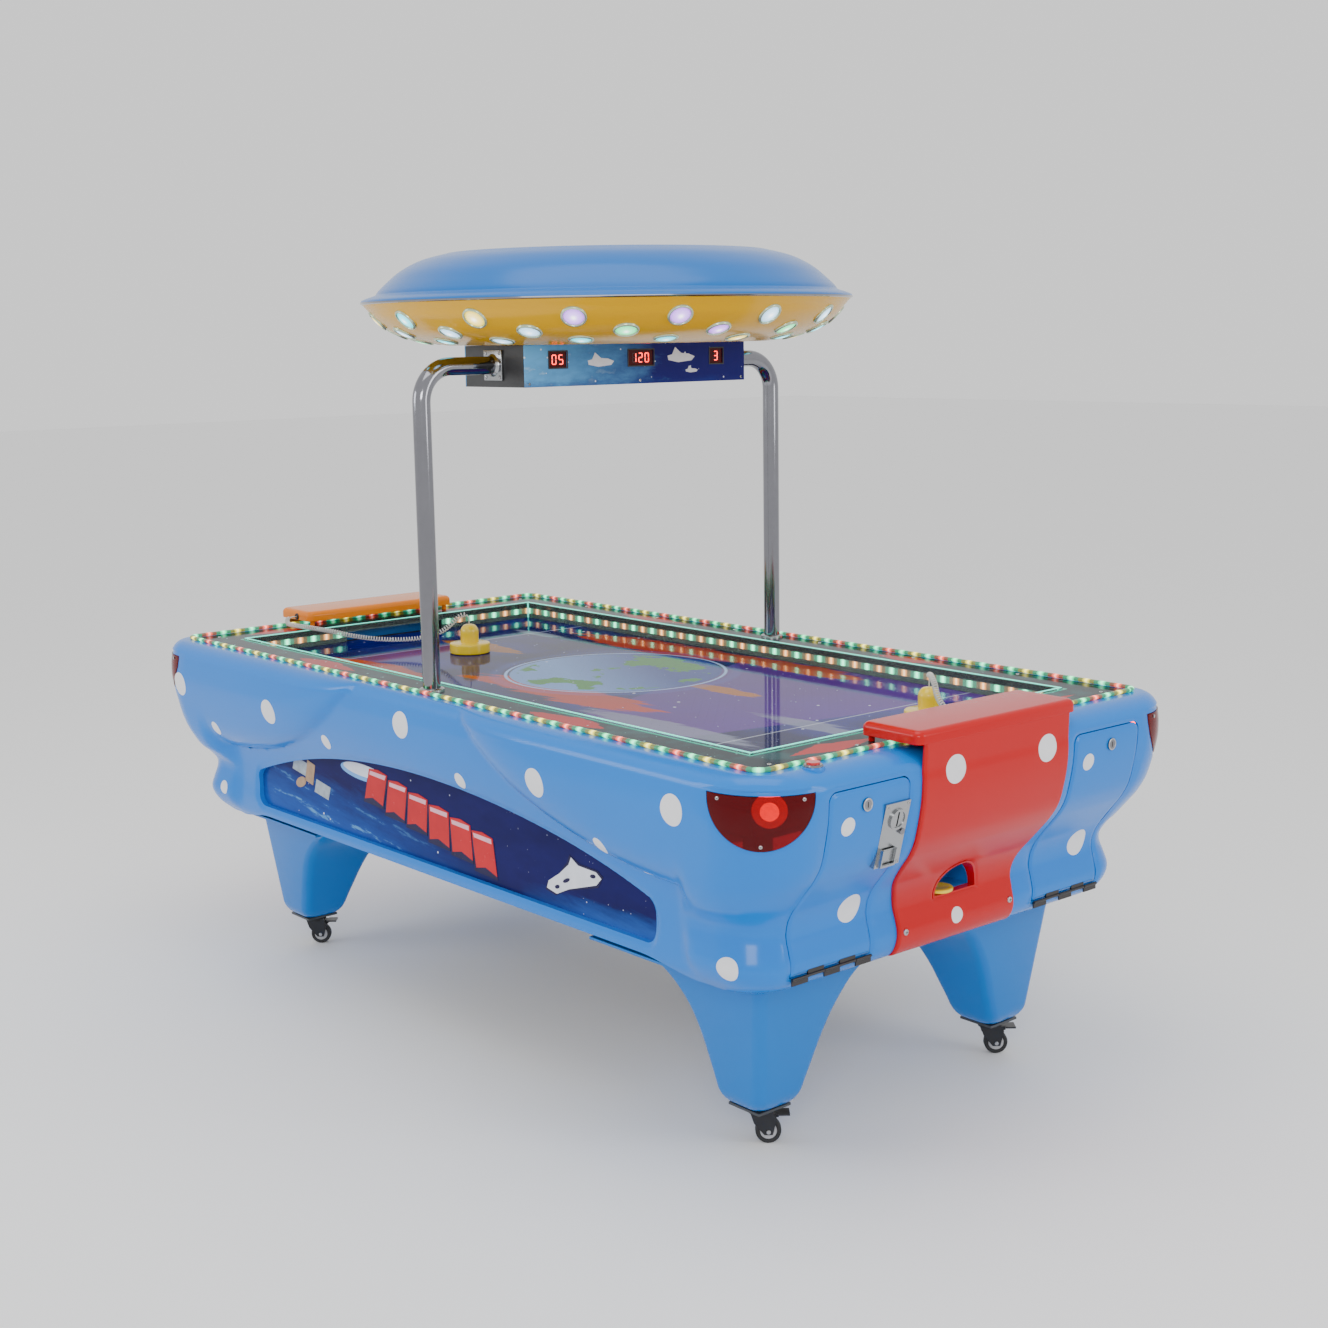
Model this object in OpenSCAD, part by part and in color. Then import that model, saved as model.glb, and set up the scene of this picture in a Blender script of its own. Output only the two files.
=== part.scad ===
// Coin-operated air hockey table on casters, with an overhead scoring canopy.
// The origin is on the floor below the middle of the table. +X points at the red goal end,
// the coin door is at that end on the -Y side, and +Z is up.

/* [Body] */
// Length between the outer edges of the playfield rim
rim_l = 2094; // [2040:2:2160]
// Width between the outer edges of the playfield rim
rim_w = 1082; // [1060:2:1120]
// Height of the rim above the floor
rim_z = 790; // [760:1:830]
// Thickness of the moulded body shell
shell_t = 6; // [4:1:8]
// Radius of the body's corners at its widest line
corner_r = 135; // [115:5:150]

/* [Playfield] */
// Length of the playing surface between its clear rails
field_l = 1836; // [1780:2:1860]
// Width of the playing surface between its clear rails
field_w = 872; // [820:2:890]
// Depth of the playing surface below the rim
field_drop = 40; // [34:1:46]
// Width of a goal slot
goal_w = 300; // [240:10:340]

/* [Goal covers] */
// Half-width of a goal cover's upper part
cover_hw = 206; // [190:1:215]
// Half-width of the hood on top of a goal cover
hood_hw = 224; // [218:1:240]
// Height of the hood's top above the rim
hood_h = 38; // [34:1:44]

/* [Doors] */
// Distance of a door's inner edge from the table's centre line
door_y0 = 236; // [230:1:245]
// Distance of a door's outer edge from the table's centre line
door_y1 = 438; // [425:1:440]
// Height of the hinge line above the floor
hinge_z = 396.5; // [396.5:0.5:400]

/* [Overhead frame] */
// Diameter of the post tubes
post_d = 38; // [32:1:42]
// Height of the tubes' horizontal run above the floor
post_z = 1466; // [1440:1:1480]
// Width of the score box across the table
box_w = 622; // [580:2:680]
// Depth of the score box along the table
box_d = 216; // [190:2:240]
// Diameter of the canopy
canopy_d = 1080; // [1040:10:1120]

/* [Legs and casters] */
// Distance of each caster's swivel from the middle, along X
caster_x = 828; // [815:1:835]
// Distance of each caster's swivel from the middle, along Y
caster_y = 336; // [330:1:340]
// Diameter of the caster wheels
wheel_d = 50; // [44:1:50]
// Rest angle of the casters about their swivels
caster_yaw = 49.5; // [0:0.5:90]

/* [Play pieces] */
// Diameter of a mallet
mallet_d = 100; // [90:1:104]
// Diameter of the puck
puck_d = 63; // [57:1:65]
// Places of the red side's and the orange side's mallet on the playing surface
mallet_red_at = [826, 140];
mallet_orange_at = [-545, -22];

/* [Hidden] */

HX = rim_l / 2;
HY = rim_w / 2;
FX = field_l / 2;
FY = field_w / 2;
field_z = rim_z - field_drop;

// Sections of the body, as [height from the rim, distance out from the rim's edge]
END_SECTION = [[-424, -62], [-412, -42], [-396, -30], [-372, -25], [-345, -30], [-320, -36],
    [-295, -33], [-272, -23], [-250, -7], [-225, 13], [-200, 33], [-170, 50], [-130, 61],
    [-90, 68], [-55, 70], [-36, 69]];
POD_SECTION = [[-424, -40], [-400, -18], [-370, -4], [-340, -8], [-300, -14], [-275, 2],
    [-256, 22], [-230, 36], [-203, 44], [-150, 51], [-90, 59], [-55, 58], [-36, 56]];
SIDE_SECTION = [[-424, -36], [-405, -24], [-370, -19], [-330, -21], [-270, -17], [-230, -9],
    [-190, 5], [-150, 21], [-110, 31], [-60, 35], [-36, 33]];
CORNER_SECTION = [[-424, 85], [-340, 95], [-290, 105], [-230, 125], [-170, 135], [-36, 135]];
// The rim rolls over from the widest line to a flat land at the top
roll_h = 36;
land = [13, 12];
land_r = 45;
skirt_z = rim_z - 424;

LEVELS = 14;
ROLL_STEPS = 4;
SIDE_STEPS = 18;
ARC_STEPS = 6;
END_STEPS = 2;

// ---- curves ----
function clamp(v, lo, hi) = min(max(v, lo), hi);
function smooth(t) = let (u = clamp(t, 0, 1)) u * u * (3 - 2 * u);
function span_of(t, p, i = 0) = (i >= len(p) - 2 || t <= p[i + 1][0]) ? i : span_of(t, p, i + 1);
function slope_at(p, i) = let (a = max(i - 1, 0), b = min(i + 1, len(p) - 1))
    (p[b][1] - p[a][1]) / (p[b][0] - p[a][0]);
// A smooth curve through the points p, read at t
function curve(t, p) =
    let (i = span_of(t, p), h = p[i + 1][0] - p[i][0], u = clamp((t - p[i][0]) / h, 0, 1))
    (2 * pow(u, 3) - 3 * pow(u, 2) + 1) * p[i][1] + (pow(u, 3) - 2 * pow(u, 2) + u) * h * slope_at(p, i)
    + (3 * pow(u, 2) - 2 * pow(u, 3)) * p[i + 1][1] + (pow(u, 3) - pow(u, 2)) * h * slope_at(p, i + 1);
function reversed(p) = [for (i = [len(p) - 1:-1:0]) p[i]];
// Outer face of the body's ends at height z
function end_x(z) = HX + curve(z - rim_z, END_SECTION);

// ---- body surface ----
// Height of the crease below a corner pod, at distance x from the middle
function crease(x) = -244 + 189 * pow(max(1000 - x, 0) / 735, 2.85);
function crease_slope(x) = -189 * 2.85 / 735 * pow(max(1000 - x, 0) / 735, 1.85);
// How far the surface follows the corner pods (1) and not the plain side (0)
function pod_weight(x, h) =
    let (d = (h - crease(x)) / sqrt(1 + pow(crease_slope(x), 2)), u = clamp(d / 110, 0, 1),
         boss = smooth((x - 815 - 0.25 * max(-310 - h, 0)) / (30 + 60 * smooth((h + 300) / 50))))
    max(sqrt(1 - pow(1 - u, 2)), boss);
// One level as [height, end, pod, side, corner radius], inset t inwards
function level(i, t) =
    let (k = i - LEVELS + 1, a = max(k, 0) * 90 / ROLL_STEPS, h = -424 + (424 - roll_h) * i / (LEVELS - 1))
    k <= 0
    ? [h, curve(h, END_SECTION) - t, curve(h, POD_SECTION) - t, curve(h, SIDE_SECTION) - t,
       curve(h, CORNER_SECTION) - t]
    : [-roll_h + (roll_h - t) * sin(a), land[0] + (69 - land[0] - t) * cos(a),
       land[1] + (56 - land[1] - t) * cos(a), land[1] + (33 - land[1] - t) * cos(a),
       land_r + (corner_r - land_r - t) * cos(a)];
// A quarter of the outline at one level, from the side's middle to the end's middle
function quarter(v) =
    let (hx = HX + v[1], hy = HY + v[2], r = v[4], z = rim_z + v[0])
    concat(
        [for (j = [0:SIDE_STEPS - 1]) let (x = (hx - r) * j / SIDE_STEPS)
            [x, -HY - v[3] - (v[2] - v[3]) * pod_weight(x, v[0]), z]],
        [for (j = [0:ARC_STEPS]) let (a = -90 + 90 * j / ARC_STEPS)
            [hx - r + r * cos(a), -hy + r + r * sin(a), z]],
        [for (j = [1:END_STEPS]) [hx, (-hy + r) * (1 - j / END_STEPS), z]]);
// Four quarters joined into a ring that runs anticlockwise
function ring_of(q) = let (n = len(q) - 1) concat(
    [for (i = [0:n - 1]) q[i]],
    [for (i = [n:-1:1]) [q[i][0], -q[i][1], q[i][2]]],
    [for (i = [0:n - 1]) [-q[i][0], -q[i][1], q[i][2]]],
    [for (i = [n:-1:1]) [-q[i][0], q[i][1], q[i][2]]]);
// A closed solid through rings of equal length, bottom ring first
module skin(rings) {
    m = len(rings[0]);
    polyhedron([for (r = rings) for (p = r) p], concat(
        [for (k = [0:len(rings) - 2]) for (i = [0:m - 1]) for (half = [0, 1])
            let (a = k * m + i, b = k * m + (i + 1) % m)
            half == 0 ? [a, a + m, b + m] : [a, b + m, b]],
        [[for (i = [0:m - 1]) i]],
        [[for (i = [m - 1:-1:0]) (len(rings) - 1) * m + i]]), convexity = 10);
}
module body_solid(t) skin([for (i = [0:LEVELS + ROLL_STEPS - 1]) ring_of(quarter(level(i, t)))]);
module body_hollow() {
    body_solid(shell_t);
    low = [for (p = ring_of(quarter(level(0, shell_t)))) p];
    skin([[for (p = low) [p[0], p[1], p[2] - 30]], [for (p = low) [p[0], p[1], p[2] + 0.01]]]);
}

// ---- outlines ----
module rounded(l, w, r) {
    square([l - 2 * r, w], center = true);
    square([l, w - 2 * r], center = true);
    for (sx = [-1, 1], sy = [-1, 1]) translate([sx * (l / 2 - r), sy * (w / 2 - r)]) circle(r, $fn = 48);
}
module frame_ring(l, w, r, l2, w2, r2, z, h) translate([0, 0, z]) linear_extrude(h)
    difference() { rounded(l, w, r); rounded(l2, w2, r2); }
// Upright plate: a polygon drawn in Y and Z, from x to x + t
module plate_x(x, t) translate([x, 0, 0]) rotate([90, 0, 90]) linear_extrude(t) children();
// A profile drawn in X and Z, from y0 to y1
module along_y(y0, y1) translate([0, y1, 0]) rotate([90, 0, 0]) linear_extrude(y1 - y0) children();
module both_ends() { children(); mirror([1, 0, 0]) children(); }
module both_sides() { children(); mirror([0, 1, 0]) children(); }
module four_corners() both_ends() both_sides() children();

// Outline of the picture panel on a long side, grown by g
panel_top = 618;
panel_bottom = 412;
panel_hw = 745;
panel_arc = 2342;
module arch(g) translate([0, rim_z - 790]) offset(r = 28 + g, $fn = 48) offset(delta = -28) intersection() {
    translate([0, panel_top - panel_arc]) circle(panel_arc, $fn = 360);
    translate([-panel_hw, panel_bottom]) square([2 * panel_hw, panel_top - panel_bottom + 1]);
}
// Outline of a corner lamp, looking straight at the corner, shrunk by g
lamp_s = 362;
lamp_z = rim_z - 38;
module lamp_outline(g) intersection() {
    translate([lamp_s, lamp_z]) scale([93 / 90, 1]) circle(90 - g, $fn = 64);
    translate([lamp_s - 100, lamp_z - 100]) square([200, 108 - g]);
}
module lamp_prism(g) rotate([90, 0, 45]) translate([0, 0, 1030]) linear_extrude(230) lamp_outline(g);

// ---- body shell and its trim ----
border_cut = 25;
start_at = [HX + 22, -432];
inlet_at = [-952, 300];
chute_z = rim_z - 320;
module body_shell() color("#1f8fe0") resize([0, 0, 0]) difference() {
    union() {
        difference() {
            body_solid(0);
            difference() {
                body_hollow();
                both_sides() along_y(-HY - 90, -HY + 36) arch(5);
            }
        }
        // Corner plates that carry the legs and hang from the steel frame
        intersection() {
            body_solid(3);
            four_corners() translate([520, -HY, skirt_z]) cube([520, HY - 90, 6]);
        }
        translate([start_at[0], start_at[1], rim_z - 30]) cylinder(h = 32, r = 21, $fn = 48);
    }
    both_sides() along_y(-HY - 90, -HY + 60) arch(0);
    translate([0, 0, rim_z - 7]) linear_extrude(20) rounded(rim_l - border_cut, rim_w - border_cut, 34);
    four_corners() lamp_prism(0);
    both_ends() {
        plate_x(HX - 80, 200) scoop(62.5);
        both_sides() plate_x(HX - 80, 200) door_outline(2);
        for (s = [-1, 1]) translate([HX - 60, s * 150, screw_z]) rotate([0, 90, 0]) cylinder(h = 90, r = 2.6, $fn = 24);
    }
    both_sides() along_y(-HY - 90, -HY + 60) translate([0, skirt_z])
        polygon(concat([[860, -9], [-860, -9]], [for (x = [-860:86:860]) [x, 22 * smooth((860 - abs(x)) / 160)]]));
    four_corners() translate([caster_x, caster_y, skirt_z + 3]) cube([46, 46, 10], center = true);
    translate([start_at[0], start_at[1], rim_z - 40]) cylinder(h = 60, r = 11, $fn = 32);
    translate([inlet_at[0], inlet_at[1], skirt_z - 10]) linear_extrude(30) square([21, 29], center = true);
}
module side_panels() color("#1b2a78") both_sides() along_y(-HY + 36, -HY + 40) arch(12);

// ---- playfield ----
glass_t = 6;
strip_t = 2;
wall_t = 18;
WX = FX + glass_t + strip_t;
WY = FY + glass_t + strip_t;
module playfield() color("#1a2a6c") translate([0, 0, field_z - 12]) linear_extrude(12)
    square([2 * WX, 2 * WY], center = true);
// A board at each end, t thick from x and up to y wide, in pieces round the goal slot
seam = 0.2;
module goal_boards(x, t, y, z0, z1) both_ends() {
    both_sides() translate([x, goal_w / 2, z0]) cube([t, y - goal_w / 2 - seam, z1 - z0]);
    translate([x, -goal_w / 2 + seam, field_z + 25]) cube([t, goal_w - 2 * seam, z1 - field_z - 25]);
    if (z0 < field_z) translate([x, -goal_w / 2 + seam, z0]) cube([t, goal_w - 2 * seam, field_z - z0]);
}
// A straight board along each long side, t thick from y and l long
module side_boards(l, y, t, z0, z1) both_sides() translate([-l / 2, y, z0]) cube([l, t, z1 - z0]);
module rail_glass() color("#9fe8dc", 0.5) {
    side_boards(2 * (FX + glass_t), FY, glass_t, field_z, rim_z + 2);
    goal_boards(FX, glass_t, FY, field_z, rim_z + 2);
}
module led_strips() color("#baffd8") {
    side_boards(2 * WX, FY + glass_t, strip_t, field_z + 14, field_z + 26);
    both_ends() both_sides() translate([FX + glass_t, goal_w / 2, field_z + 14])
        cube([strip_t, FY + glass_t - goal_w / 2 - seam, 12]);
}
module field_walls() color("#22242c") {
    side_boards(2 * (WX + wall_t), WY, wall_t, field_z - 60, rim_z - 12);
    goal_boards(WX, wall_t, WY, field_z - 60, rim_z - 12);
}
module border_frame() color("#0f3a44") difference() {
    union() {
        frame_ring(rim_l - border_cut - 1, rim_w - border_cut - 1, 33.5,
            2 * (FX + glass_t), 2 * (FY + glass_t), 1, rim_z - 6, 6);
        frame_ring(rim_l + 4, rim_w + 4, 40, 2 * (FX + glass_t), 2 * (FY + glass_t), 1, rim_z - 12, 6);
    }
    both_sides() translate([0, post_y, rim_z - 20]) cylinder(h = 40, r = post_d / 2, $fn = 64);
    translate([start_at[0], start_at[1], rim_z - 20]) cylinder(h = 30, r = 22, $fn = 48);
}
module led_rope() color("#4dff88")
    frame_ring(rim_l, rim_w, 34, rim_l - 24, rim_w - 24, 22, rim_z, 8);
module air_chamber() color("#c8a877") translate([0, 0, field_z - 110]) difference() {
    linear_extrude(98) square([2 * WX, 2 * WY], center = true);
    translate([0, 0, 10]) linear_extrude(90) square([2 * WX - 24, 2 * WY - 24], center = true);
    translate([0, 0, -1]) cylinder(h = 20, r = 60, $fn = 64);
}

// ---- blower under the air chamber ----
blower_z = field_z - 110;
module blower_housing() color("#2f3338") translate([0, 0, blower_z - 90]) difference() {
    union() {
        cylinder(h = 90, r = 130, $fn = 64);
        translate([0, 0, 86]) linear_extrude(4) square([300, 300], center = true);
    }
    translate([0, 0, 4]) cylinder(h = 82, r = 126, $fn = 64);
    translate([0, 0, 80]) cylinder(h = 20, r = 58, $fn = 64);
    translate([0, 0, -1]) cylinder(h = 6, r = 40, $fn = 48);
}
module blower_impeller() color("#8d949c") translate([0, 0, blower_z - 90]) {
    difference() {
        union() {
            translate([0, 0, 12]) cylinder(h = 3, r = 112, $fn = 64);
            translate([0, 0, 12]) cylinder(h = 26, r = 16, $fn = 48);
            for (a = [0:20:340]) rotate([0, 0, a]) translate([82, 0, 14]) rotate([0, 0, 35])
                translate([-15, -1, 0]) cube([30, 2, 52]);
        }
        translate([0, 0, 10]) cylinder(h = 40, r = 6, $fn = 32);
    }
    translate([0, 0, -20]) cylinder(h = 58, r = 6, $fn = 32);
}
module blower_motor() color("#5b6168") translate([0, 0, blower_z - 90]) difference() {
    union() {
        translate([0, 0, -86]) cylinder(h = 80, r = 55, $fn = 64);
        translate([0, 0, -6]) cylinder(h = 6, r = 70, $fn = 64);
    }
    translate([0, 0, -21]) cylinder(h = 30, r = 6.05, $fn = 48);
}

// ---- steel frame inside the body ----
foot_z = 75;
tube = 40;
module support_frame() color("#4a4f57") difference() {
    union() {
        four_corners() {
            translate([caster_x - tube / 2, caster_y - tube / 2, foot_z + 5])
                cube([tube, tube, blower_z - foot_z - 5]);
            translate([caster_x - 42, caster_y - 42, foot_z]) cube([84, 84, 5]);
            translate([caster_x - 60, caster_y - 60, skirt_z + 6]) cube([120, 120, 5]);
            translate([0, caster_y - tube / 2, skirt_z + 24]) cube([caster_x, tube, tube]);
            translate([caster_x - tube / 2, 0, skirt_z + 24]) cube([tube, caster_y, tube]);
            translate([0, caster_y - tube / 2, blower_z - tube]) cube([caster_x, tube, tube]);
            translate([caster_x - tube / 2, 0, blower_z - tube]) cube([tube, caster_y, tube]);
            translate([220, 0, skirt_z + 24]) cube([tube, caster_y, tube]);
        }
        both_sides() {
            translate([-30, caster_y, blower_z - tube]) cube([60, post_y - caster_y - 4, tube]);
            translate([-30, caster_y, blower_z - 8]) cube([60, post_y - caster_y + 26, 8]);
            translate([0, post_y, blower_z - 10]) cylinder(h = 50, r = post_d / 2 - 2, $fn = 64);
        }
    }
    // Bearing and head room for each caster's swivel stem
    four_corners() translate([caster_x, caster_y, foot_z - 1]) {
        cylinder(h = 8, r = 6.05, $fn = 48);
        translate([0, 0, 6]) cylinder(h = 12, r = 12, $fn = 48);
    }
}

// ---- legs ----
LEG_BOTTOM = 80;
leg_inner_x = [[0, 62], [28, 64], [80, 86], [125, 106], [170, 127], [205, 160], [235, 198], [258, 240], [286, 300]];
leg_inner_y = [[0, 62], [28, 64], [80, 90], [125, 112], [170, 137], [205, 162], [235, 185], [258, 212], [286, 240]];
// Section of a leg at height h above its lower end, inset t: [inner x, inner y, outer x, outer y, radius]
function leg_section(h, t) = let (tip = 26 * (1 - sqrt(1 - pow(clamp(1 - h / 34, 0, 1), 2))),
        k = 286 / (skirt_z - LEG_BOTTOM))
    [caster_x - curve(h * k, leg_inner_x) + tip + t, caster_y - curve(h * k, leg_inner_y) + tip + t,
     caster_x + 58 + 0.14 * h * k - tip - t, caster_y + 58 + 0.11 * h * k - tip - t, 24 - t];
function leg_ring(h, t) = let (s = leg_section(h, t)) [for (c = [0:3]) for (j = [0:4])
    let (a = 180 + 90 * c + 22.5 * j, cx = (c == 0 || c == 3) ? s[0] + s[4] : s[2] - s[4],
         cy = c < 2 ? s[1] + s[4] : s[3] - s[4])
    [cx + s[4] * cos(a), cy + s[4] * sin(a), LEG_BOTTOM + h]];
leg_h = skirt_z - LEG_BOTTOM;
module leg_covers() color("#2b8fdc") four_corners() difference() {
    skin([for (i = [0:11]) leg_ring(leg_h * pow(i / 11, 1.3), 0)]);
    skin([for (i = [0:11]) [for (p = leg_ring(leg_h * pow(i / 11, 1.3), 5))
        [p[0], p[1], LEG_BOTTOM + (p[2] - LEG_BOTTOM) * (leg_h + 0.4) / leg_h - 0.2]]]);
}

// ---- goal covers ----
proud = 8;
screw_z = rim_z - 367;
hood_x0 = HX - 67;
hood_x1 = HX + 79;
hood_top = rim_z + hood_h;
hood_low = rim_z + 13;
COVER_HALF = [[-424, -42], [-400, -38], [-350, -40], [-300, -34], [-250, -14], [-200, -5], [-150, 0], [60, 0]];
function cover_half(h) = cover_hw + curve(h, COVER_HALF);
cover_low = rim_z - 416;
// Profile of the moulded front from its lower edge to the hood, at distance g outside the body,
// with its corners at the body's own levels
function level_z(i) = rim_z - 424 + (424 - roll_h) * i / (LEVELS - 1);
function cover_line(g) = concat(
    [let (t = (cover_low - level_z(0)) / (level_z(1) - level_z(0)))
        [end_x(level_z(0)) * (1 - t) + end_x(level_z(1)) * t + g, cover_low]],
    [for (i = [1:LEVELS - 1]) [end_x(level_z(i)) + g, level_z(i)]],
    [[HX + 70 + g + (g > 4 ? 1 : 0), rim_z - 20]]);
function corner_arc(x, z, r, a0, a1) = [for (k = [0:5]) let (a = a0 + (a1 - a0) * k / 5) [x + r * cos(a), z + r * sin(a)]];
module hood_profile(g) polygon(concat([[hood_x0 + g, hood_low]],
    corner_arc(hood_x0 + 10, hood_top - 10, 10 - g, 180, 90),
    corner_arc(hood_x1 - 14, hood_top - 14, 14 - g, 90, 0), [[hood_x1 - g, hood_low]]));
module goal_cover(tint) color(tint) {
    difference() {
        union() {
            intersection() {
                along_y(-cover_hw, cover_hw) polygon(concat(cover_line(proud),
                    [[hood_x1, rim_z], [hood_x1, hood_low + 4], [hood_x1 - 6, hood_low + 4], [hood_x1 - 6, rim_z - 20]],
                    reversed(cover_line(0.3))));
                plate_x(HX - 120, 240) polygon(concat(
                    [for (k = [0:14]) let (z = cover_low + (60 + rim_z - cover_low) * k / 14) [cover_half(z - rim_z), z]],
                    [for (k = [14:-1:0]) let (z = cover_low + (60 + rim_z - cover_low) * k / 14) [-cover_half(z - rim_z), z]]));
            }
            along_y(-hood_hw, hood_hw) difference() {
                hood_profile(0);
                translate([0, -0.01]) hood_profile(6);
            }
            both_sides() along_y(hood_hw - 6, hood_hw) hood_profile(0);
            both_sides() translate([hood_x0 + 14, hood_hw - 18, rim_z]) cylinder(h = hood_h - 3, r = 6, $fn = 32);
            intersection() {
                plate_x(HX - 46, 80) difference() { scoop(62); scoop(58); }
                along_y(-70, 70) polygon(concat(cover_line(proud), [[HX - 60, rim_z], [HX - 60, cover_low]]));
            }
        }
        plate_x(HX - 60, 120) scoop(58);
        for (s = [-1, 1]) translate([HX - 60, s * 150, screw_z]) rotate([0, 90, 0]) cylinder(h = 90, r = 3.1, $fn = 24);
        translate([hood_x0 + 60, hood_hw - 20, rim_z + 22]) rotate([-90, 0, 0]) cylinder(h = 30, r = 5, $fn = 32);
    }
}
module scoop(r) translate([0, chute_z]) intersection() {
    circle(r, $fn = 64);
    translate([-r, 58 - r]) square([2 * r, 2 * r]);
}
module goal_cover_red() goal_cover("#d8101c");
module goal_cover_orange() mirror([1, 0, 0]) mirror([0, 1, 0]) goal_cover("#f08a00");

// ---- puck return ----
chute_x0 = WX + wall_t;
chute_x1 = HX - 47;
function funnel(g) = [[goal_w / 2 + g, rim_z - 12], [goal_w / 2 + g, rim_z - 90], [62 + g, rim_z - 190],
    [62 + g, chute_z - g], [-62 - g, chute_z - g], [-62 - g, rim_z - 190], [-goal_w / 2 - g, rim_z - 90],
    [-goal_w / 2 - g, rim_z - 12]];
module puck_chutes() color("#3aa0e8") both_ends() difference() {
    plate_x(chute_x0, chute_x1 - chute_x0) polygon(funnel(3));
    plate_x(chute_x0 + 3, chute_x1 - chute_x0 - 6) polygon(concat([[62 + 0.01, rim_z]], funnel(0), [[-62, rim_z]]));
    translate([chute_x0 - 1, -goal_w / 2, field_z]) cube([10, goal_w, 25]);
    plate_x(chute_x1 - 5, 10) scoop(58);
}
puck_at = [chute_x1 - 8, -22];
module puck() color("#ffd800") translate([puck_at[0], puck_at[1], chute_z]) rotate_extrude($fn = 64)
    polygon([[0, 0], [puck_d / 2 - 1, 0], [puck_d / 2, 1], [puck_d / 2, 7], [puck_d / 2 - 1, 8], [0, 8]]);

// ---- doors ----
door_t = 5;
door_top = rim_z - 40;
hinge_x = end_x(hinge_z) + 4;
module door_outline(g) translate([(door_y0 + door_y1) / 2, 0]) {
    w = door_y1 - door_y0 + 2 * g;
    translate([-w / 2, hinge_z + 3.5 - g]) square([w, door_top - hinge_z - 22]);
    translate([-w / 2 + 18, hinge_z + 3.5]) square([w - 36, door_top + g - hinge_z - 3.5]);
    for (s = [-1, 1]) translate([s * (w / 2 - 18), door_top + g - 18]) circle(18, $fn = 48);
}
knuckle = [-101, -61, -20, 20, 61, 101];
module door_panel() {
    difference() {
        intersection() {
            along_y(door_y0, door_y1) polygon(concat(
                [for (k = [0:16]) let (z = hinge_z + 3.5 + (door_top - hinge_z - 3.5) * k / 16) [end_x(z), z]],
                [for (k = [16:-1:0]) let (z = hinge_z + 3.5 + (door_top - hinge_z - 3.5) * k / 16) [end_x(z) - door_t, z]]));
            plate_x(HX - 80, 200) door_outline(0);
        }
        lock_place() translate([0, 0, -60]) cylinder(h = 90, r = 9.55, $fn = 48);
        // Room for the hinge knuckles that stay on the body
        for (k = [0, 2, 4]) hinge_span(k, 0.3, 5);
    }
    for (k = [1, 3]) difference() {
        union() {
            hinge_span(k, -0.3, 3);
            translate([hinge_x - 3, (door_y0 + door_y1) / 2 + knuckle[k] + 0.3, hinge_z])
                cube([3, knuckle[k + 1] - knuckle[k] - 0.6, 10]);
        }
        hinge_span(k, 1, 1.55);
    }
}
// A cylinder on the hinge line over knuckle k, longer by 2g
module hinge_span(k, g, r) translate([hinge_x, (door_y0 + door_y1) / 2 + knuckle[k] - g, hinge_z])
    rotate([-90, 0, 0]) cylinder(h = knuckle[k + 1] - knuckle[k] + 2 * g, r = r, $fn = 32);
module door_hinges() color("#8a7a5a") four_corners() {
    translate([hinge_x, (door_y0 + door_y1) / 2 - 101, hinge_z]) rotate([-90, 0, 0]) cylinder(h = 202, r = 1.5, $fn = 24);
    for (k = [0, 2, 4]) {
        hinge_span(k, 0, 3);
        translate([hinge_x - 3, (door_y0 + door_y1) / 2 + knuckle[k], hinge_z - 12])
            cube([3, knuckle[k + 1] - knuckle[k], 12]);
    }
}
module red_end(side) mirror([0, side < 0 ? 1 : 0, 0]) children();
module orange_end(side) mirror([1, 0, 0]) mirror([0, side < 0 ? 1 : 0, 0]) children();
coin_y = 271;
coin_z = rim_z - 142;
coin_tilt = 14;
// Frame of the coin plate: its outer face is the local YZ plane
module coin_place() translate([end_x(coin_z) + 0.5, -coin_y, coin_z]) rotate([0, coin_tilt, 0]) children();
module door_coin() color("#2593e4") difference() {
    red_end(-1) door_panel();
    coin_place() translate([-40, -32, -63]) cube([60, 64, 126]);
}
module door_red_back() color("#2593e4") red_end(1) door_panel();
module door_orange_front() color("#2593e4") orange_end(-1) door_panel();
module door_orange_back() color("#2593e4") orange_end(1) door_panel();

// ---- cam locks ----
lock_y = 348;
lock_z = rim_z - 72;
module lock_place() translate([end_x(lock_z), lock_y, lock_z]) rotate([0, 90, 0]) children();
module cam_lock() color("#b9bdc4") lock_place() difference() {
    union() {
        translate([0, 0, 0.9]) cylinder(h = 2.4, r = 12, $fn = 48);
        translate([0, 0, -30]) cylinder(h = 31, r = 9.5, $fn = 48);
        translate([-27, -8, -33]) cube([35, 16, 3]);
    }
    translate([-5, -1, 0]) cube([10, 2, 5]);
}
module lock_coin() red_end(-1) cam_lock();
module lock_red_back() red_end(1) cam_lock();
module lock_orange_front() orange_end(-1) cam_lock();
module lock_orange_back() orange_end(1) cam_lock();

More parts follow.
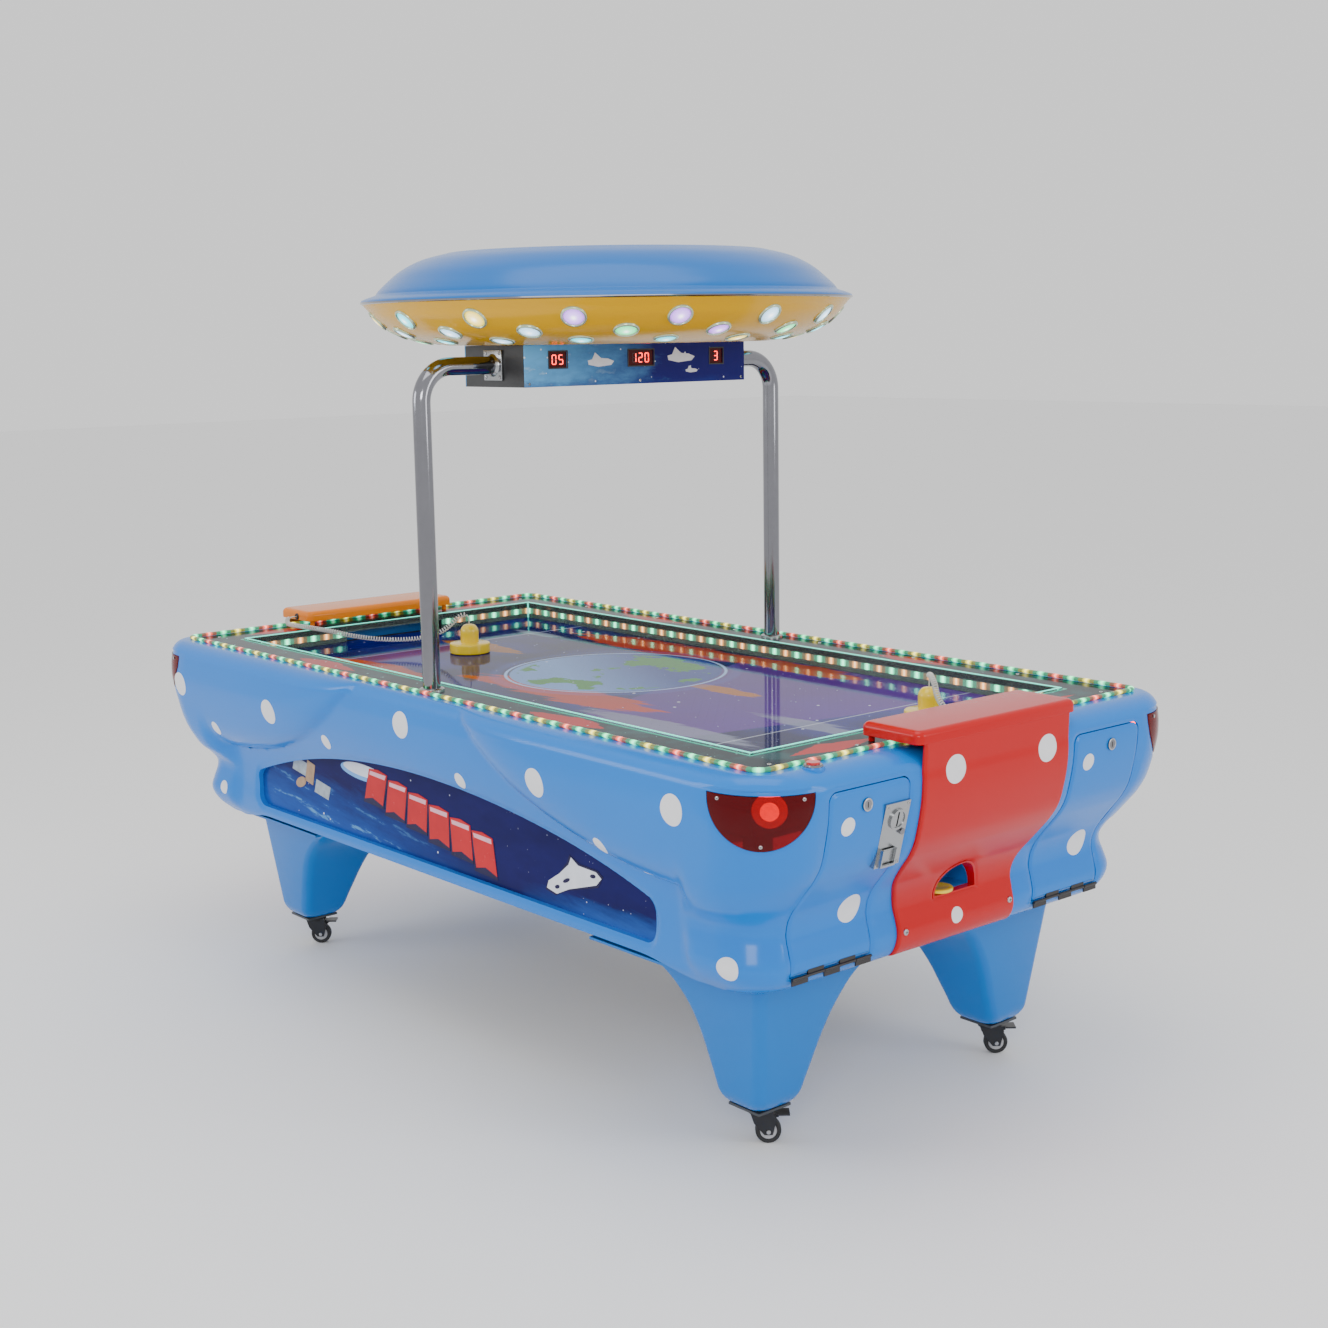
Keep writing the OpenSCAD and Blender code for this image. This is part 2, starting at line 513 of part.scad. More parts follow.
// ---- coin entry ----
module coin_plate() color("#c4c8cc") coin_place() difference() {
    union() {
        translate([-14, -32, -63]) cube([14, 64, 126]);
        translate([-40, -27, -57]) cube([27, 54, 107]);
        translate([0, 4, 30]) rotate([0, 90, 0]) difference() {
            cylinder(h = 4, r = 20, $fn = 48);
            translate([0, 0, 2]) cylinder(h = 4, r = 16, $fn = 48);
        }
        translate([-1, -27, -58]) cube([11, 37, 4]);
        for (y = [-27, 7]) translate([-1, y, -58]) cube([11, 3, 34]);
    }
    translate([-20, 2.2, 16]) cube([30, 3.6, 28]);
    translate([-34, -24, -54]) cube([50, 31, 29]);
    translate([3, -26, -27]) rotate([-90, 0, 0]) cylinder(h = 35, r = 1.55, $fn = 32);
    translate([-45, 20, 4]) rotate([0, 90, 0]) cylinder(h = 60, r = 6.05, $fn = 48);
    for (y = [-27, 27], z = [-58, 58]) translate([-5, y, z]) rotate([0, 90, 0]) cylinder(h = 8, r = 1.6, $fn = 24);
}
module coin_button() color("#e4e6e8") coin_place() translate([0, 20, 4]) rotate([0, 90, 0])
    translate([0, 0, -16]) cylinder(h = 21, r = 6, $fn = 48);
module coin_flap() color("#a9adb2") coin_place() {
    translate([3, -25.5, -27]) rotate([-90, 0, 0]) cylinder(h = 34, r = 1.5, $fn = 32);
    translate([2, -23.5, -52.5]) cube([2, 30, 25]);
}
module cash_box() color("#6c7178") difference() {
    translate([892, -426, skirt_z + 6]) cube([78, 160, 110]);
    translate([895, -423, skirt_z + 9]) cube([72, 154, 120]);
}
module control_box() color("#50555c") translate([-620, -120, blower_z - 60]) difference() {
    cube([260, 180, 60]);
    translate([3, 3, 3]) cube([254, 174, 54]);
}
module power_inlet() color("#16181b") translate([inlet_at[0], inlet_at[1], skirt_z]) difference() {
    union() {
        translate([0, 0, -1.5]) cube([32, 46, 3], center = true);
        translate([0, 0, 13]) cube([20, 28, 28], center = true);
    }
    translate([0, 0, 5]) cube([16, 24, 28], center = true);
}

// ---- corner lamps ----
module lamp_covers() color("#5a0810", 0.8) resize([0, 0, 0]) intersection() {
    difference() { body_solid(0); body_solid(3); }
    four_corners() lamp_prism(1);
}
module corner_lamps() color("#ff3020") four_corners() {
    translate([WX + wall_t, -WY + 10, rim_z - 95]) cube([14, 50, 50]);
    translate([WX + wall_t + 10, -WY + 24, rim_z - 70]) rotate([0, 90, -45]) {
        cylinder(h = 110, r = 9, $fn = 32);
        translate([0, 0, 108]) cylinder(h = 6, r = 30, $fn = 48);
        translate([0, 0, 128]) sphere(r = 17, $fn = 48);
    }
}

// ---- start button ----
module start_bezel() color("#d5d8dc") translate([start_at[0], start_at[1], rim_z + 2]) rotate_extrude($fn = 64)
    polygon([[8.05, -26], [10.5, -26], [10.5, 0], [18, 0], [18, 1.5], [16, 4], [12.3, 4], [12.3, 0.4], [8.05, 0.4]]);
module start_button() color("#e01020") translate([start_at[0], start_at[1], rim_z + 2]) {
    translate([0, 0, 3.5]) cylinder(h = 4.5, r = 12, $fn = 48);
    translate([0, 0, -30]) cylinder(h = 34, r = 8, $fn = 48);
}

// ---- posts and score box ----
post_y = 498;
bend = 73;
module post() {
    translate([0, -post_y, blower_z]) difference() {
        cylinder(h = post_z - bend - blower_z, r = post_d / 2, $fn = 64);
        translate([0, 0, -1]) cylinder(h = post_z - bend - blower_z + 2, r = post_d / 2 - 2, $fn = 64);
    }
    translate([0, -post_y + bend, post_z - bend]) rotate([0, -90, 0]) rotate([0, 0, -90]) rotate_extrude(angle = 90, $fn = 96)
        translate([bend, 0]) difference() { circle(post_d / 2, $fn = 64); circle(post_d / 2 - 2, $fn = 64); }
    translate([0, -post_y + bend, post_z]) rotate([-90, 0, 0]) difference() {
        cylinder(h = post_y - bend - box_w / 2 - 5, r = post_d / 2, $fn = 64);
        translate([0, 0, -1]) cylinder(h = 300, r = post_d / 2 - 2, $fn = 64);
    }
    translate([-32, -box_w / 2 - 5, post_z - 32]) cube([64, 5, 64]);
    translate([0, -post_y, rim_z]) difference() {
        cylinder(h = 7, r = post_d / 2 + 8, $fn = 64);
        translate([0, 0, -1]) cylinder(h = 9, r = post_d / 2 - 1, $fn = 64);
    }
}
module posts() color("#b4b8bd") both_sides() post();
box_low = 1420;
box_top = 1507;
win_w = [48, 72, 40];
win_y = [-224, 4, 225];
module windows(x, t) for (i = [0:2]) translate([x, win_y[i] - win_w[i] / 2, 1459]) cube([t, win_w[i], 34]);
module score_box() color("#15161a") difference() {
    translate([-box_d / 2 + 3, -box_w / 2, box_low]) cube([box_d - 6, box_w, box_top - box_low]);
    translate([-box_d / 2 + 5, -box_w / 2 + 2, box_low + 2]) cube([box_d - 10, box_w - 4, box_top - box_low - 4]);
    both_ends() windows(box_d / 2 - 8, 8);
}
module score_panels() color("#27389c") both_ends() difference() {
    translate([box_d / 2 - 3, -box_w / 2, box_low]) cube([3, box_w, box_top - box_low]);
    windows(box_d / 2 - 4, 6);
}
module score_displays() color("#7a0c10") for (sx = [-1, 1]) for (i = [0:2])
    translate([sx > 0 ? box_d / 2 - 22 : -box_d / 2 + 2, win_y[i] - win_w[i] / 2 + 0.5, 1459.5]) cube([20, win_w[i] - 1, 33]);

// ---- canopy ----
canopy_lip = 1604;
CR = canopy_d / 2;
DOME = [[0, 1704], [CR - 190, 1704], [CR - 132, 1690], [CR - 88, 1668], [CR - 52, 1639], [CR - 35, 1622], [CR - 14, 1612], [CR, canopy_lip]];
BOWL = [[CR - 2, canopy_lip - 8], [CR - 17, 1590], [CR - 35, 1562], [CR - 74, 1535], [CR - 129, 1518], [CR - 185, box_top], [0, box_top]];
module canopy_top() color("#1583d8") rotate_extrude($fn = 96) polygon(concat(DOME,
    [[CR, canopy_lip - 3]], [for (i = [len(DOME) - 2:-1:0]) [max(DOME[i][0] - 3, 0), DOME[i][1] - 4]]));
module canopy_bottom() color("#f2c200") difference() {
    rotate_extrude($fn = 96) polygon(concat(BOWL,
        [for (i = [len(BOWL) - 1:-1:0]) [max(BOWL[i][0] - (i > 4 ? 0 : 4), 0), BOWL[i][1] + 4]]));
    lights(26.5, 30);
}
light_row = [[CR - 35, 1562, 46], [CR - 74, 1535, 26], [CR - 129, 1518, 14]];
// One disc per light, each row square to the bowl's own slope
module lights(r, h) for (row = [0:2]) for (k = [0:14])
    rotate([0, 0, 24 * k + 12 * (row % 2) + 1.5]) translate([light_row[row][0], 0, light_row[row][1]])
        rotate([0, 180 - light_row[row][2], 0]) translate([0, 0, -h + (h > 20 ? 10 : 2)]) cylinder(h = h, r = r, $fn = 32);
module canopy_lights() color("#e8fbff") lights(26, 10);

// ---- casters ----
trail = 16;
axle_z = wheel_d / 2;
module caster_place(sx, sy) translate([sx * caster_x, sy * caster_y, 0]) rotate([0, 0, caster_yaw]) children();
brake_at = [25, foot_z - 18];
module caster(sx, sy) color("#202226") caster_place(sx, sy) {
    translate([0, 0, foot_z - 3]) cylinder(h = 2.6, r = 27, $fn = 48);
    translate([0, 0, foot_z - 3]) cylinder(h = 14, r = 6, $fn = 48);
    translate([0, 0, foot_z + 5.4]) cylinder(h = 6, r = 10, $fn = 48);
    translate([0, 0, foot_z - 14]) cylinder(h = 11.01, r = 22, $fn = 48);
    for (s = [-1, 1]) difference() {
        translate([0, s * 13.5, 0]) rotate([90, 0, 0]) linear_extrude(3, center = true)
            polygon([[-20, foot_z - 8], [24, foot_z - 8], [32, foot_z - 23], [27, axle_z + 6],
                [trail + 8, axle_z - 6], [trail - 8, axle_z - 6], [-12, axle_z + 18]]);
        translate([trail, 0, axle_z]) rotate([90, 0, 0]) cylinder(h = 60, r = 4.05, center = true, $fn = 32);
        translate([brake_at[0], 0, brake_at[1]]) rotate([90, 0, 0]) cylinder(h = 60, r = 2.05, center = true, $fn = 32);
    }
}
// Pedal that presses a shoe towards the tyre
module brake(sx, sy) color("#3a3d42") caster_place(sx, sy) translate([brake_at[0], 0, brake_at[1]]) {
    rotate([90, 0, 0]) cylinder(h = 30, r = 2, center = true, $fn = 32);
    rotate([90, 0, 0]) cylinder(h = 22, r = 4.5, center = true, $fn = 32);
    translate([0, -11, 0.5]) cube([30, 22, 3.5]);
    translate([10, -15, 0.5]) cube([22, 30, 3.5]);
    translate([5, -8, -5]) cube([6, 16, 6]);
}
module wheel(sx, sy) color("#1a1a1c") caster_place(sx, sy) translate([trail, 0, axle_z]) rotate([90, 0, 0]) {
    rotate_extrude($fn = 96) polygon([[4, -10], [axle_z - 3, -10], [axle_z, -7], [axle_z, 7], [axle_z - 3, 10], [4, 10]]);
    cylinder(h = 34, r = 4, center = true, $fn = 32);
}
module caster_red_front() caster(1, -1);
module caster_red_back() caster(1, 1);
module caster_orange_front() caster(-1, -1);
module caster_orange_back() caster(-1, 1);
module brake_red_front() brake(1, -1);
module brake_red_back() brake(1, 1);
module brake_orange_front() brake(-1, -1);
module brake_orange_back() brake(-1, 1);
module wheel_red_front() wheel(1, -1);
module wheel_red_back() wheel(1, 1);
module wheel_orange_front() wheel(-1, -1);
module wheel_orange_back() wheel(-1, 1);

// ---- mallets and their cords ----
MALLET = [[0, 0.4], [mallet_d / 2 - 3, 0.4], [mallet_d / 2, 3.4], [mallet_d / 2, 23], [mallet_d / 2 - 3, 26],
    [24, 26], [22.5, 28], [22.5, 52], [20, 62], [14, 69], [7.5, 72], [0, 72]];
module mallet(at) color("#ffcf00") translate([at[0], at[1], field_z]) rotate_extrude($fn = 64) polygon(MALLET);
module mallet_red() mallet(mallet_red_at);
module mallet_orange() mallet(mallet_orange_at);
cord_d = 13;
// Routes of the two curly cords, each from its hood to its mallet
CORD_RED = [[1040, 224.3, 812], [1040, 240, 812], [1034, 256, 808], [1014, 262, 800], [990, 252, 797],
    [970, 222, 797], [964, 180, 797], [962, 130, 797], [962, 90, 798], [955, 68, 801], [935, 62, 806],
    [905, 75, 822], [880, 95, 840], [856, 112, 850], [838, 128, 849], [829, 137, 843], [826, 140, 834],
    [826, 140, 828], [826, 140, 822.3]];
CORD_ORANGE = [[-1040, -224.3, 812], [-1040, -240, 812], [-1034, -256, 808], [-1012, -266, 800],
    [-975, -270, 800], [-930, -268, 801], [-880, -258, 800], [-830, -240, 796], [-780, -215, 788],
    [-730, -185, 783], [-690, -150, 781], [-655, -115, 783], [-625, -85, 790], [-598, -62, 806],
    [-578, -47, 826], [-565, -37, 840], [-556, -30, 845], [-548, -24, 842], [-545, -22, 834],
    [-545, -22, 828], [-545, -22, 822.3]];
function unit(v) = v / norm(v);
// Rings square to the route, each turned as little as possible from the one before it
function side_of(t, s) = unit(cross(cross(t, s), t));
function tube_rings(p, r, i = 0, s = [0.1, 0.2, 1]) = i >= len(p) ? [] :
    let (t = unit(p[min(i + 1, len(p) - 1)] - p[max(i - 1, 0)]), u = side_of(t, s), w = cross(t, u))
    concat([[for (k = [0:9]) p[i] + r * (cos(36 * k) * u + sin(36 * k) * w)]], tube_rings(p, r, i + 1, u));
function midway(p) = concat([for (i = [0:len(p) - 2]) for (h = [0, 1]) h == 0 ? p[i] :
    let (a = p[max(i - 1, 0)], d = p[min(i + 2, len(p) - 1)]) (9 * (p[i] + p[i + 1]) - a - d) / 16], [p[len(p) - 1]]);
module cord(route) skin([for (r = tube_rings(midway(route), cord_d / 2)) reversed(r)]);
module mallet_cord_red() color("#f2f2f0") cord(CORD_RED);
module mallet_cord_orange() color("#f2f2f0") cord(CORD_ORANGE);

body_shell();
side_panels();
border_frame();
rail_glass();
led_rope();
led_strips();
field_walls();
playfield();
air_chamber();
blower_housing();
blower_motor();
blower_impeller();
support_frame();
leg_covers();
goal_cover_red();
goal_cover_orange();
puck_chutes();
door_coin();
door_red_back();
door_orange_front();
door_orange_back();
door_hinges();
lock_coin();
lock_red_back();
lock_orange_front();
lock_orange_back();
coin_plate();
coin_button();
coin_flap();
cash_box();
control_box();
power_inlet();
lamp_covers();
corner_lamps();
start_button();
start_bezel();
posts();
score_box();
score_panels();
score_displays();
canopy_top();
canopy_bottom();
canopy_lights();
caster_red_front();
caster_red_back();
caster_orange_front();
caster_orange_back();
wheel_red_front();
wheel_red_back();
wheel_orange_front();
wheel_orange_back();
brake_red_front();
brake_red_back();
brake_orange_front();
brake_orange_back();
mallet_red();
mallet_orange();
mallet_cord_red();
mallet_cord_orange();
puck();
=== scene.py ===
import math

import bmesh
import bpy
import numpy as np
from mathutils import Matrix, Vector


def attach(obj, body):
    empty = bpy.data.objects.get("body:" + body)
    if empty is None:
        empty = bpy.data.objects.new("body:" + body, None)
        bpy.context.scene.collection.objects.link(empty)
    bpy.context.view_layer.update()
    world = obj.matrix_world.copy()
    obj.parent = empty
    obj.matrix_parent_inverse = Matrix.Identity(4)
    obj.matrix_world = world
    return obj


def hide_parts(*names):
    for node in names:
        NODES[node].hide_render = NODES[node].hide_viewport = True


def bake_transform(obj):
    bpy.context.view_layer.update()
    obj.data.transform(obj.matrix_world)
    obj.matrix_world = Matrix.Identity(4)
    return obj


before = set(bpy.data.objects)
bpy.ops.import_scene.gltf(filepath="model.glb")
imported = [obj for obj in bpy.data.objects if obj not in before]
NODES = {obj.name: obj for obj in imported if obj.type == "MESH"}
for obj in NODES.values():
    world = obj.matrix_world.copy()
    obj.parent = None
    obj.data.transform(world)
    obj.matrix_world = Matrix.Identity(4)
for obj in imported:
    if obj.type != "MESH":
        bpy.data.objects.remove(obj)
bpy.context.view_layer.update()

# ------------------------------------------------------------------ camera
AZ, EL, ROLL = math.radians(49.5), math.radians(9.9), math.radians(-0.9)
camera = bpy.data.objects.new("camera", bpy.data.cameras.new("camera"))
bpy.context.scene.collection.objects.link(camera)
camera.data.lens = 51.25
camera.data.sensor_width = 36.0
camera.data.clip_end = 60.0
back = Vector((math.sin(AZ) * math.cos(EL), -math.cos(AZ) * math.cos(EL), math.sin(EL)))
turn = back.to_track_quat("Z", "Y").to_matrix().to_4x4() @ Matrix.Rotation(ROLL, 4, "Z")
camera.matrix_world = Matrix.Translation((3.310, -2.6785, 1.5257)) @ turn
bpy.context.scene.camera = camera


# ------------------------------------------------------------------ materials
def plug(tree, sock, v):
    """Links a value or a socket to sock, or sets sock to a number or a colour."""
    v = v.sock if isinstance(v, Value) else v
    if isinstance(v, bpy.types.NodeSocket):
        tree.links.new(v, sock)
    elif isinstance(v, (int, float)):
        sock.default_value = v
    else:
        sock.default_value = (*v[:3], 1.0)


class Value:
    """A shader value that takes part in arithmetic."""

    def __init__(self, tree, sock):
        self.tree, self.sock = tree, sock

    def op(self, kind, *others, swap=False, clamp=False):
        n = self.tree.nodes.new("ShaderNodeMath")
        n.operation, n.use_clamp = kind, clamp
        for sock, v in zip(n.inputs, [*others, self] if swap else [self, *others]):
            plug(self.tree, sock, v)
        return Value(self.tree, n.outputs[0])

    def __add__(self, o): return self.op("ADD", o)
    __radd__ = __add__
    def __sub__(self, o): return self.op("SUBTRACT", o)
    def __rsub__(self, o): return self.op("SUBTRACT", o, swap=True)
    def __mul__(self, o): return self.op("MULTIPLY", o)
    __rmul__ = __mul__
    def __truediv__(self, o): return self.op("DIVIDE", o)
    def __pow__(self, o): return self.op("POWER", o)
    def abs(self): return self.op("ABSOLUTE")
    def fract(self): return self.op("FRACT")
    def floor(self): return self.op("FLOOR")
    def min(self, o): return self.op("MINIMUM", o)
    def above(self, lo, soft=0.002):
        """0 below lo, 1 above lo + soft."""
        return ((self - lo) / soft).op("MULTIPLY", 1.0, clamp=True)
    def below(self, hi, soft=0.002): return 1.0 - self.above(hi - soft, soft)
    def between(self, lo, hi, soft=0.002): return self.above(lo, soft) * self.below(hi, soft)


def size(a, b):
    """Length of the flat vector a, b."""
    return (a * a + b * b) ** 0.5


class Look:
    """A material under construction: coordinates, noises, colour mixes and the surface."""

    def __init__(self, name):
        self.mat = bpy.data.materials.new(name)
        self.mat.use_nodes = True
        self.tree = self.mat.node_tree
        self.bsdf = self.tree.nodes["Principled BSDF"]
        coord = self.tree.nodes.new("ShaderNodeTexCoord")
        self.coord = coord.outputs["Object"]
        sep = self.tree.nodes.new("ShaderNodeSeparateXYZ")
        self.tree.links.new(self.coord, sep.inputs[0])
        self.x, self.y, self.z = (Value(self.tree, s) for s in sep.outputs)

    def vec(self, x, y, z=0.0):
        n = self.tree.nodes.new("ShaderNodeCombineXYZ")
        for sock, v in zip(n.inputs, (x, y, z)):
            plug(self.tree, sock, v)
        return n.outputs[0]

    def noise(self, scale, detail=3.0, rough=0.5, at=None, distort=0.0):
        n = self.tree.nodes.new("ShaderNodeTexNoise")
        n.inputs["Scale"].default_value = scale
        n.inputs["Detail"].default_value = detail
        n.inputs["Roughness"].default_value = rough
        n.inputs["Distortion"].default_value = distort
        self.tree.links.new(at or self.coord, n.inputs["Vector"])
        return Value(self.tree, n.outputs[0])

    def cells(self, scale):
        """Distance to the nearest of many scattered points."""
        n = self.tree.nodes.new("ShaderNodeTexVoronoi")
        n.inputs["Scale"].default_value = scale
        self.tree.links.new(self.coord, n.inputs["Vector"])
        return Value(self.tree, n.outputs["Distance"])

    def attr(self, name):
        """A number stored on the mesh's points."""
        n = self.tree.nodes.new("ShaderNodeAttribute")
        n.attribute_name = name
        return Value(self.tree, n.outputs["Fac"])

    def stars(self, scale, radius, keep, at):
        """Sharp dots of random size. keep is the share of cells that hold one."""
        n = self.tree.nodes.new("ShaderNodeTexVoronoi")
        n.inputs["Scale"].default_value = scale
        self.tree.links.new(at, n.inputs["Vector"])
        sep = self.tree.nodes.new("ShaderNodeSeparateColor")
        self.tree.links.new(n.outputs["Color"], sep.inputs[0])
        chance = Value(self.tree, sep.outputs[0])
        r = Value(self.tree, sep.outputs[1]) * radius + radius * 0.3
        return (r - Value(self.tree,
                          n.outputs["Distance"])).above(0.0, radius * 0.5) * chance.below(keep, 0.01)

    def mix(self, fac, a, b):
        n = self.tree.nodes.new("ShaderNodeMix")
        n.data_type = "RGBA"
        for key, v in (("Factor", fac), ("A", a), ("B", b)):
            plug(self.tree, n.inputs[key], v)
        return n.outputs["Result"]

    def set(self, name, v):
        plug(self.tree, self.bsdf.inputs[name], v)

    def bump(self, height, strength=0.2, distance=0.001):
        n = self.tree.nodes.new("ShaderNodeBump")
        n.inputs["Strength"].default_value = strength
        n.inputs["Distance"].default_value = distance
        self.tree.links.new(height.sock, n.inputs["Height"])
        if self.bsdf.inputs["Normal"].is_linked:
            self.tree.links.new(self.bsdf.inputs["Normal"].links[0].from_socket, n.inputs["Normal"])
        self.tree.links.new(n.outputs[0], self.bsdf.inputs["Normal"])


def shade(c, k):
    """A colour made k times as bright."""
    return tuple(min(1.0, v * k) for v in c)


def paint(name, colour, rough=0.3, metal=0.0, coat=0.0, vary=0.12, scale=6.0, grain=0.0, grain_scale=400.0,
          wear=0.0, spec=0.5):
    """A painted, plated or moulded finish: mottled colour, uneven gloss and a fine surface grain."""
    k = Look(name)
    mottle = k.noise(scale, 4.0)
    colour_sock = k.mix(mottle, shade(colour, 1 - vary), shade(colour, 1 + vary))
    if wear:
        scuff = k.noise(scale * 9, 6.0, 0.7).above(0.62, 0.06) * wear
        colour_sock = k.mix(scuff, colour_sock, shade(colour, 1.5))
    k.set("Base Color", colour_sock)
    k.set("Roughness", k.noise(scale * 5, 3.0) * (rough * 0.5) + rough * 0.75)
    k.set("Metallic", metal)
    k.set("Specular IOR Level", spec)
    if coat:
        k.set("Coat Weight", coat)
        k.set("Coat Roughness", 0.04)
    if grain:
        k.bump(k.noise(grain_scale, 2.0), grain, 0.0004)
    return k.mat


def moulded(name, colour, haze=0.05):
    """Glossy gelcoat over glass fibre, with the slow waviness of a hand-laid moulding."""
    k = Look(name)
    tone = k.noise(2.2, 3.0) * 0.8 + k.noise(35.0, 3.0) * 0.2
    k.set("Base Color", k.mix(tone, shade(colour, 0.94), shade(colour, 1.06)))
    dust = k.noise(60.0, 5.0, 0.65)
    k.set("Roughness", dust * 0.12 + 0.16)
    k.set("Specular IOR Level", 0.22)
    k.set("Coat Weight", 0.14)
    k.set("Coat Roughness", haze)
    k.bump(k.noise(9.0, 2.0), 0.10, 0.004)
    k.bump(k.noise(260.0, 2.0), 0.05, 0.0004)
    return k.mat


def metal(name, colour=(0.62, 0.63, 0.65), rough=0.22, brushed=None, wear=0.2):
    """Bare or plated metal. brushed is the direction across the brush marks, as three scales."""
    k = Look(name)
    if brushed:
        at = k.vec(k.x * brushed[0], k.y * brushed[1], k.z * brushed[2])
        streak = k.noise(1.0, 4.0, 0.6, at=at)
        k.bump(streak, 0.12, 0.0004)
    else:
        streak = k.noise(90.0, 4.0, 0.6)
    smear = k.noise(14.0, 4.0, 0.6)
    k.set("Base Color", k.mix(streak * 0.6 + smear * 0.4, shade(colour, 1 - wear),
                              shade(colour, 1 + wear * 0.5)))
    k.set("Metallic", 1.0)
    k.set("Roughness", smear * rough * 0.8 + streak * rough * 0.4 + rough * 0.35)
    return k.mat


def glowing(name, colour, strength):
    """A glowing plastic with uneven brightness. It serves the lamps, and also gives the glass rail's edges a
    painted glow, as they are no lamp.
    """
    k = Look(name)
    k.set("Base Color", k.mix(k.noise(300.0), shade(colour, 0.7), colour))
    k.set("Roughness", 0.35)
    k.set("Emission Color", colour)
    k.set("Emission Strength", k.noise(220.0, 2.0) * strength * 0.6 + strength * 0.7)
    return k.mat


BLUE = (0.0, 0.185, 0.66)
M = {
    "blue": moulded("blue_gelcoat", BLUE),
    "blue_leg": moulded("blue_gelcoat_leg", (0.0, 0.165, 0.56)),
    "blue_dome": moulded("blue_gelcoat_canopy", (0.0, 0.125, 0.44), haze=0.3),
    "red": moulded("red_gelcoat", (0.52, 0.0005, 0.003)),
    "orange": moulded("orange_gelcoat", (0.78, 0.20, 0.0005)),
    "yellow": moulded("yellow_gelcoat", (0.72, 0.38, 0.0005)),
    "white": paint("white_vinyl", (0.78, 0.78, 0.80), 0.35, vary=0.05, scale=25, grain=0.1),
    "dark": paint("dark_inside", (0.02, 0.022, 0.026), 0.6, vary=0.3, scale=12, grain=0.2, wear=0.1),
    "black": paint("black_plastic", (0.015, 0.015, 0.017), 0.42, vary=0.3, scale=18, grain=0.15, wear=0.08),
    "frame": paint("frame_paint", (0.045, 0.05, 0.055), 0.4, vary=0.25, scale=10, grain=0.25, wear=0.25),
    "chrome": metal("chrome_plate", (0.25, 0.25, 0.275), 0.11, wear=0.18),
    "steel": metal("zinc_steel", (0.50, 0.50, 0.51), 0.30, brushed=(900, 900, 60)),
    "plate": metal("brushed_plate", (0.40, 0.41, 0.42), 0.26, brushed=(80, 1400, 60)),
    "hinge": metal("hinge_dark_steel", (0.075, 0.07, 0.07), 0.38, brushed=(700, 60, 700), wear=0.35),
    "casting": paint("motor_paint", (0.10, 0.12, 0.14), 0.5, vary=0.3, scale=30, grain=0.5, grain_scale=250,
                     wear=0.2),
    "alu": metal("impeller_aluminium", (0.62, 0.63, 0.65), 0.4, brushed=(300, 300, 300)),
    "box": paint("powder_grey", (0.20, 0.21, 0.23), 0.55, vary=0.12, scale=20, grain=0.5, grain_scale=600,
                 wear=0.15),
    "rubber": paint("tyre_rubber", (0.018, 0.018, 0.02), 0.7, vary=0.35, scale=40, grain=0.4, wear=0.25),
    "hub": paint("hub_nylon", (0.42, 0.42, 0.44), 0.4, vary=0.15, scale=40, grain=0.2, wear=0.3),
    "cord": paint("cord_sheath", (0.62, 0.61, 0.58), 0.45, vary=0.12, scale=50, grain=0.1),
    "mallet": paint("mallet_plastic", (0.86, 0.60, 0.004), 0.22, coat=0.4, vary=0.06, scale=20, wear=0.12,
                    grain=0.05),
    "puck": paint("puck_plastic", (0.86, 0.62, 0.01), 0.25, coat=0.3, vary=0.08, scale=40, wear=0.15),
    "button": paint("button_red", (0.62, 0.006, 0.010), 0.18, coat=0.5, vary=0.1, scale=80, grain=0.05),
    "chute": paint("chute_paint", (0.02, 0.20, 0.62), 0.3, coat=0.2, vary=0.12, scale=12, wear=0.2,
                   grain=0.2),
}


def wood():
    """Varnished board, with its grain along x."""
    k = Look("chamber_board")
    at = k.vec(k.x * 1.2, k.y * 14.0, k.z * 14.0)
    ring = k.noise(3.0, 6.0, 0.6, at=at, distort=1.2)
    k.set("Base Color", k.mix(ring, (0.30, 0.19, 0.10), (0.55, 0.40, 0.24)))
    k.set("Roughness", ring * 0.2 + 0.55)
    k.bump(ring, 0.3, 0.001)
    return k.mat


